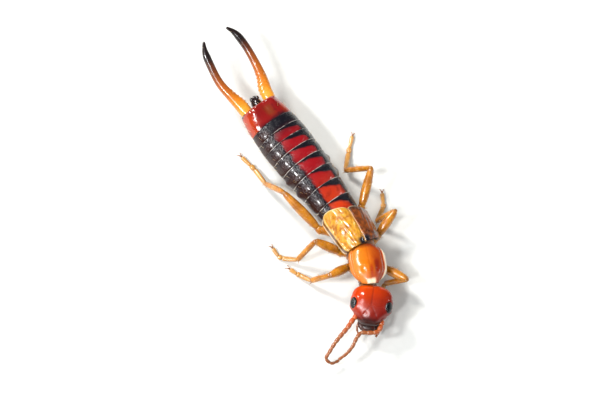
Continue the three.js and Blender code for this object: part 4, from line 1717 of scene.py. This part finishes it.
LEG_POSES = {
    "front_left": LegPose(
        (2.45, 0.3, 0.75), (0.1, -2.75, 0.8), (0.5, -3.85, 1.15),
        (-0.06, -3.3, 0.32), (-0.6, -3.5, 0.14), (-1.15, -3.72, 0.13),
    ),
    "middle_left": LegPose(
        (1.5, 0.35, 0.7), (0.8, -1.5, 0.8), (1.92, -1.16, 1.4),
        (1.39, -0.85, 0.32), (2.14, -0.43, 0.14), (2.5, 0.12, 0.13),
    ),
    "hind_left": LegPose(
        (0.5, 0.35, 0.7), (1.0, -0.12, 0.82), (2.23, 0.94, 1.5),
        (1.7, 1.75, 0.32), (2.56, 2.49, 0.14), (3.07, 2.92, 0.13),
    ),
    "front_right": LegPose(
        (2.45, -0.3, 0.75), (-1.12, -1.94, 0.85), (-2.12, -1.85, 1.1),
        (-2.62, -1.42, 0.32), (-2.82, -0.85, 0.14), (-2.98, -0.42, 0.13),
    ),
    "middle_right": LegPose(
        (1.5, -0.35, 0.7), (-1.0, -1.2, 0.82), (-1.79, -0.34, 1.4),
        (-2.53, -0.34, 0.32), (-3.0, 0.21, 0.14), (-3.0, 0.75, 0.13),
    ),
    "hind_right": LegPose(
        (0.5, -0.35, 0.7), (-1.1, 0.1, 0.82), (-1.6, 2.16, 1.5),
        (-1.54, 3.17, 0.32), (-1.44, 3.95, 0.14), (-1.56, 4.83, 0.13),
    ),
}


@dataclass
class Leg:
    """One leg: coxa, trochanter, femur, tibia, three foot joints and two claws."""

    line: BodyLine
    name: str
    pose: LegPose
    coxa: tuple[float, ...] = (0.24, 0.25, 0.2, 0.17)
    trochanter: tuple[float, ...] = (0.15, 0.17, 0.15)
    femur: tuple[float, ...] = (0.13, 0.2, 0.225, 0.215, 0.17, 0.13)
    tibia: tuple[float, ...] = (0.11, 0.13, 0.135, 0.13, 0.135)
    foot_shares: tuple[float, ...] = (0.0, 0.52, 0.66, 0.97)
    foot_halves: tuple[tuple[float, ...], ...] = (
        (0.075, 0.09, 0.1), (0.08, 0.105, 0.09), (0.06, 0.075, 0.085),
    )
    sole_lift: float = 0.01
    spur_half: float = 0.02
    claw_half: float = 0.03
    bare_below: float = 0.24

    def _limb(self, mould: Mould, start: Array, end: Array, halves: Sequence[float],
              flat: float = 1.0, bow: float = 0.0, foot: float = 0.0) -> None:
        """Adds one joint of the leg as a rounded shell.

        Args:
            mould: Where it goes.
            start: Its root.
            end: Its far end.
            halves: Half its thickness at even steps along it.
            flat: Its width as a share of its height.
            bow: How far its middle bends upwards.
            foot: 1 for a joint of the foot.
        """
        share = rounded_steps(44)
        path = start + (end - start) * share[:, None]
        path[:, 2] += bow * 4 * share * (1 - share)
        half = np.interp(share, np.linspace(0, 1, len(halves)), halves)
        half = np.convolve(np.pad(half, 3, mode="edge"), np.ones(7) / 7, mode="valid") * end_round(share, 12)
        rings = tube(path, half * flat, half, 26)
        hairy = ease(rings[:, :, 2], self.bare_below, self.bare_below + 0.16)
        mould.shell(rings, along=share[:, None], foot=foot, hairy=hairy)

    def _foot(self, mould: Mould, ankle: Array, foot: Array, toe: Array) -> None:
        """Adds the three joints of the foot, flat on the floor, and its claws.

        Args:
            mould: Where they go.
            ankle: Where the foot starts.
            foot: Its middle.
            toe: Its end.
        """
        steps = 100
        path = smooth_path([ankle, foot, toe], steps)
        for index, halves in enumerate(self.foot_halves):
            ends = [path[round((steps - 1) * self.foot_shares[index + k])].copy() for k in (0, 1)]
            if index:
                ends[0][2] = halves[0] + self.sole_lift
            ends[1][2] = halves[-1] + self.sole_lift
            self._limb(mould, ends[0], ends[1], halves, 1.15, foot=1.0)
        ahead = unit((toe - foot) * np.array([1, 1, 0]))
        aside = np.array([-ahead[1], ahead[0], 0])
        tip = path[-3] * np.array([1, 1, 0]) + np.array([0, 0, 0.09])
        rise = np.array([0, 0, 1])
        for way in (-1, 1):
            claw = smooth_path([
                tip,
                tip + ahead * 0.08 + aside * 0.04 * way + rise * 0.03,
                tip + ahead * 0.17 + aside * 0.08 * way,
                tip + ahead * 0.21 + aside * 0.09 * way - rise * 0.07,
            ], 24)
            half = self.claw_half * (1 - 0.85 * np.linspace(0, 1, 24))
            mould.shell(tube(claw, half, half, 12), along=0.5, claw=1.0)

    def build(self, material: bpy.types.Material) -> bpy.types.Object:
        """Builds and places the leg.

        Args:
            material: The leg's finish.

        Returns:
            The leg.
        """
        pose = self.pose
        root = self.line.place(*pose.root)
        hip, knee, ankle, foot, toe = map(np.array, (pose.hip, pose.knee, pose.ankle, pose.foot, pose.toe))
        mould = Mould(self.line)
        inward = unit(root - hip)
        self._limb(mould, root, hip - inward * 0.02, self.coxa)
        thigh = unit(knee - hip)
        self._limb(mould, hip - thigh * 0.16, hip + thigh * 0.16, self.trochanter)
        self._limb(mould, hip, knee + thigh * 0.05, self.femur, 0.92, 0.03)
        shin = unit(ankle - knee)
        self._limb(mould, knee - shin * 0.08, ankle + shin * 0.04, self.tibia, 0.9, 0.02)
        aside = unit(np.cross(shin, np.array([0, 0, 1.0])))
        for way in (-1, 1):
            spur = ankle + aside * 0.08 * way
            ends = np.linspace(0, 1, 10)[:, None]
            spine = spur + (shin * 0.1 + aside * 0.07 * way) * ends
            half = self.spur_half * (1 - 0.9 * ends[:, 0])
            mould.shell(tube(spine, half, half, 8), along=0.9)
        self._foot(mould, ankle, foot, toe)
        return finish_piece(mould.cast(f"walking_leg_{self.name}", material), "leg", f"leg_{self.name}")


# Setting


@dataclass(frozen=True)
class PhotoView:
    """The photo's view: how the camera leans and turns, and what the picture's middle looks at."""

    lean_right: float = 21.0
    lean_front: float = 12.0
    body_turn: float = 51.8
    px_per_mm: float = 23.6
    width_px: int = 612
    aim: tuple[float, float, float] = (-0.763, 1.413, 0.587)
    distance: float = 0.24

    def axes(self) -> tuple[Vector, Vector, Vector]:
        """The picture's right, up and back directions.

        Returns:
            The three directions.
        """
        back = Vector((-math.sin(math.radians(self.lean_right)), -math.sin(math.radians(self.lean_front)), 0))
        back.z = math.sqrt(1 - back.length_squared)
        forward = Vector((0, -1, 0))
        forward = (forward - back * forward.dot(back)).normalized()
        across = back.cross(forward)
        turn = math.radians(self.body_turn)
        right = forward * math.cos(turn) + across * math.sin(turn)
        up = across * math.cos(turn) - forward * math.sin(turn)
        return right, up, back

    def make(self, line: BodyLine) -> bpy.types.Object:
        """Sets the camera.

        Args:
            line: The body's line, for the origin.

        Returns:
            The camera.
        """
        right, up, back = self.axes()
        data = bpy.data.cameras.new("camera")
        data.sensor_width = 36.0
        view_width = self.width_px / self.px_per_mm * MM
        data.lens = data.sensor_width * self.distance / view_width
        data.clip_start = 0.01
        data.clip_end = 10.0
        camera = bpy.data.objects.new("camera", data)
        aim = Vector(self.aim) * MM + line.origin
        frame_axes = Matrix((right, up, back)).transposed().to_4x4()
        camera.matrix_world = Matrix.Translation(aim + back * self.distance) @ frame_axes
        bpy.context.scene.collection.objects.link(camera)
        bpy.context.scene.camera = camera
        return camera


@dataclass(frozen=True)
class Lamp:
    """One soft lamp, placed by the picture's own directions."""

    name: str
    right: float
    up: float
    back: float
    size: float
    power: float
    tint: tuple[float, float, float] = (1.0, 1.0, 1.0)
    reach: float = 0.3
    mirrored: bool = True

    def make(self, view: PhotoView, line: BodyLine) -> None:
        """Hangs the lamp, facing the animal.

        Args:
            view: The photo's view, for its directions.
            line: The body's line, for the origin.
        """
        right, up, back = view.axes()
        away = (right * self.right + up * self.up + back * self.back).normalized()
        data = bpy.data.lights.new(self.name, "AREA")
        data.shape = "DISK"
        data.size = self.size
        data.energy = self.power
        data.color = self.tint
        lamp = bpy.data.objects.new(self.name, data)
        lamp.location = Vector(view.aim) * MM + line.origin + away * self.reach
        lamp.rotation_euler = away.to_track_quat("Z", "Y").to_euler()
        lamp.visible_glossy = self.mirrored
        bpy.context.scene.collection.objects.link(lamp)


@dataclass(frozen=True)
class Studio:
    """Pale floor, soft lamps and a pale surround; the floor's half width is in metres."""

    lamps: tuple[Lamp, ...] = (
        Lamp("key_lamp", -0.5, 0.72, 0.55, 0.07, 0.8, (1.0, 0.98, 0.95)),
        Lamp("crown_lamp", -0.3, -0.16, 0.93, 0.035, 0.4, (0.96, 0.98, 1.0)),
        Lamp("side_lamp", -0.53, 0.06, 0.85, 0.05, 0.6, (0.96, 0.98, 1.0)),
        Lamp("soft_lamp", 0.4, 0.3, 1.0, 0.5, 0.5, (1.0, 1.0, 1.0), mirrored=False),
        Lamp("rim_lamp", 1.0, 0.2, 0.3, 0.06, 0.15, (0.95, 0.98, 1.0)),
    )
    floor_half: float = 0.5
    surround: tuple[float, float, float, float] = (0.8, 0.85, 0.9, 1.0)
    surround_strength: float = 0.14

    def floor(self) -> bpy.types.Object:
        """Makes the plain pale floor.

        Returns:
            The floor, set as stage.
        """
        mesh = bpy.data.meshes.new("floor")
        half = self.floor_half
        corners = [(-half, -half, 0), (half, -half, 0), (half, half, 0), (-half, half, 0)]
        mesh.from_pydata(corners, [], [(0, 1, 2, 3)])
        shell = Shell(roughness=0.7, coat=0.0, bump_strength=0.1, bump_depth=0.02)
        mesh.materials.append(PlainFinish("floor_finish", "DCDCD8", "DADAD6", shell, 2.0).make())
        floor = bpy.data.objects.new("floor", mesh)
        bpy.context.scene.collection.objects.link(floor)
        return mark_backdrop(floor)

    def build(self, view: PhotoView, line: BodyLine) -> None:
        """Sets up floor, lamps, surround and tone.

        Args:
            view: The photo's view, which the lamps follow.
            line: The body's line, for the origin.
        """
        self.floor()
        for lamp in self.lamps:
            lamp.make(view, line)
        world = bpy.data.worlds.new("surround")
        world.use_nodes = True
        sky = world.node_tree.nodes["Background"].inputs
        sky["Color"].default_value = self.surround
        sky["Strength"].default_value = self.surround_strength
        bpy.context.scene.world = world
        bpy.context.scene.view_settings.view_transform = "Standard"


def body_line() -> BodyLine:
    """Finds the body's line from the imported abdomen: its middle across and its front face."""
    low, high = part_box("abdomen")
    return BodyLine(Vector(((low.x + high.x) / 2, low.y, 0.0)))


def grow_bristles(pieces: dict[str, bpy.types.Object]) -> None:
    """Grows the sparse pale hairs on the legs, the forceps, the last ring and the flanks.

    Args:
        pieces: The finished pieces, by name.
    """
    shell = Shell(roughness=0.4, coat=0.0)
    material = PlainFinish("bristle_finish", "E8D2A6", "B98E52", shell).make()
    coats = (
        ("walking_leg", "leg", Bristles(26.0, 0.13)),
        ("forceps_blade", "forceps", Bristles(5.0, 0.14, lean=0.9)),
        ("last_ring", "tail", Bristles(7.0, 0.2, 0.008, 1.0)),
        ("abdomen_rings", "abdomen", Bristles(9.0, 0.2, 0.007, 1.3)),
    )
    for start, slot, coat in coats:
        for name, piece in pieces.items():
            if name.startswith(start):
                finish_piece(coat.grow(f"bristles_{name}", piece, material, "hairy"), slot)


def main() -> None:
    """Builds the earwig piece by piece, then its setting."""
    logging.basicConfig(level=logging.INFO, format="%(name)s: %(message)s")
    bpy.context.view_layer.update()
    line = body_line()
    view = PhotoView()
    view.make(line)
    pieces: list[bpy.types.Object] = []
    for part in (Trunk(line), Abdomen(line), Forceps(line), BackPlates(line), Head(line)):
        pieces += part.build()
    leg_material = LegFinish().make()
    pieces += [Leg(line, name, pose).build(leg_material) for name, pose in LEG_POSES.items()]
    grow_bristles({piece.name: piece for piece in pieces})
    Studio().build(view, line)


if __name__ == "__main__":
    main()
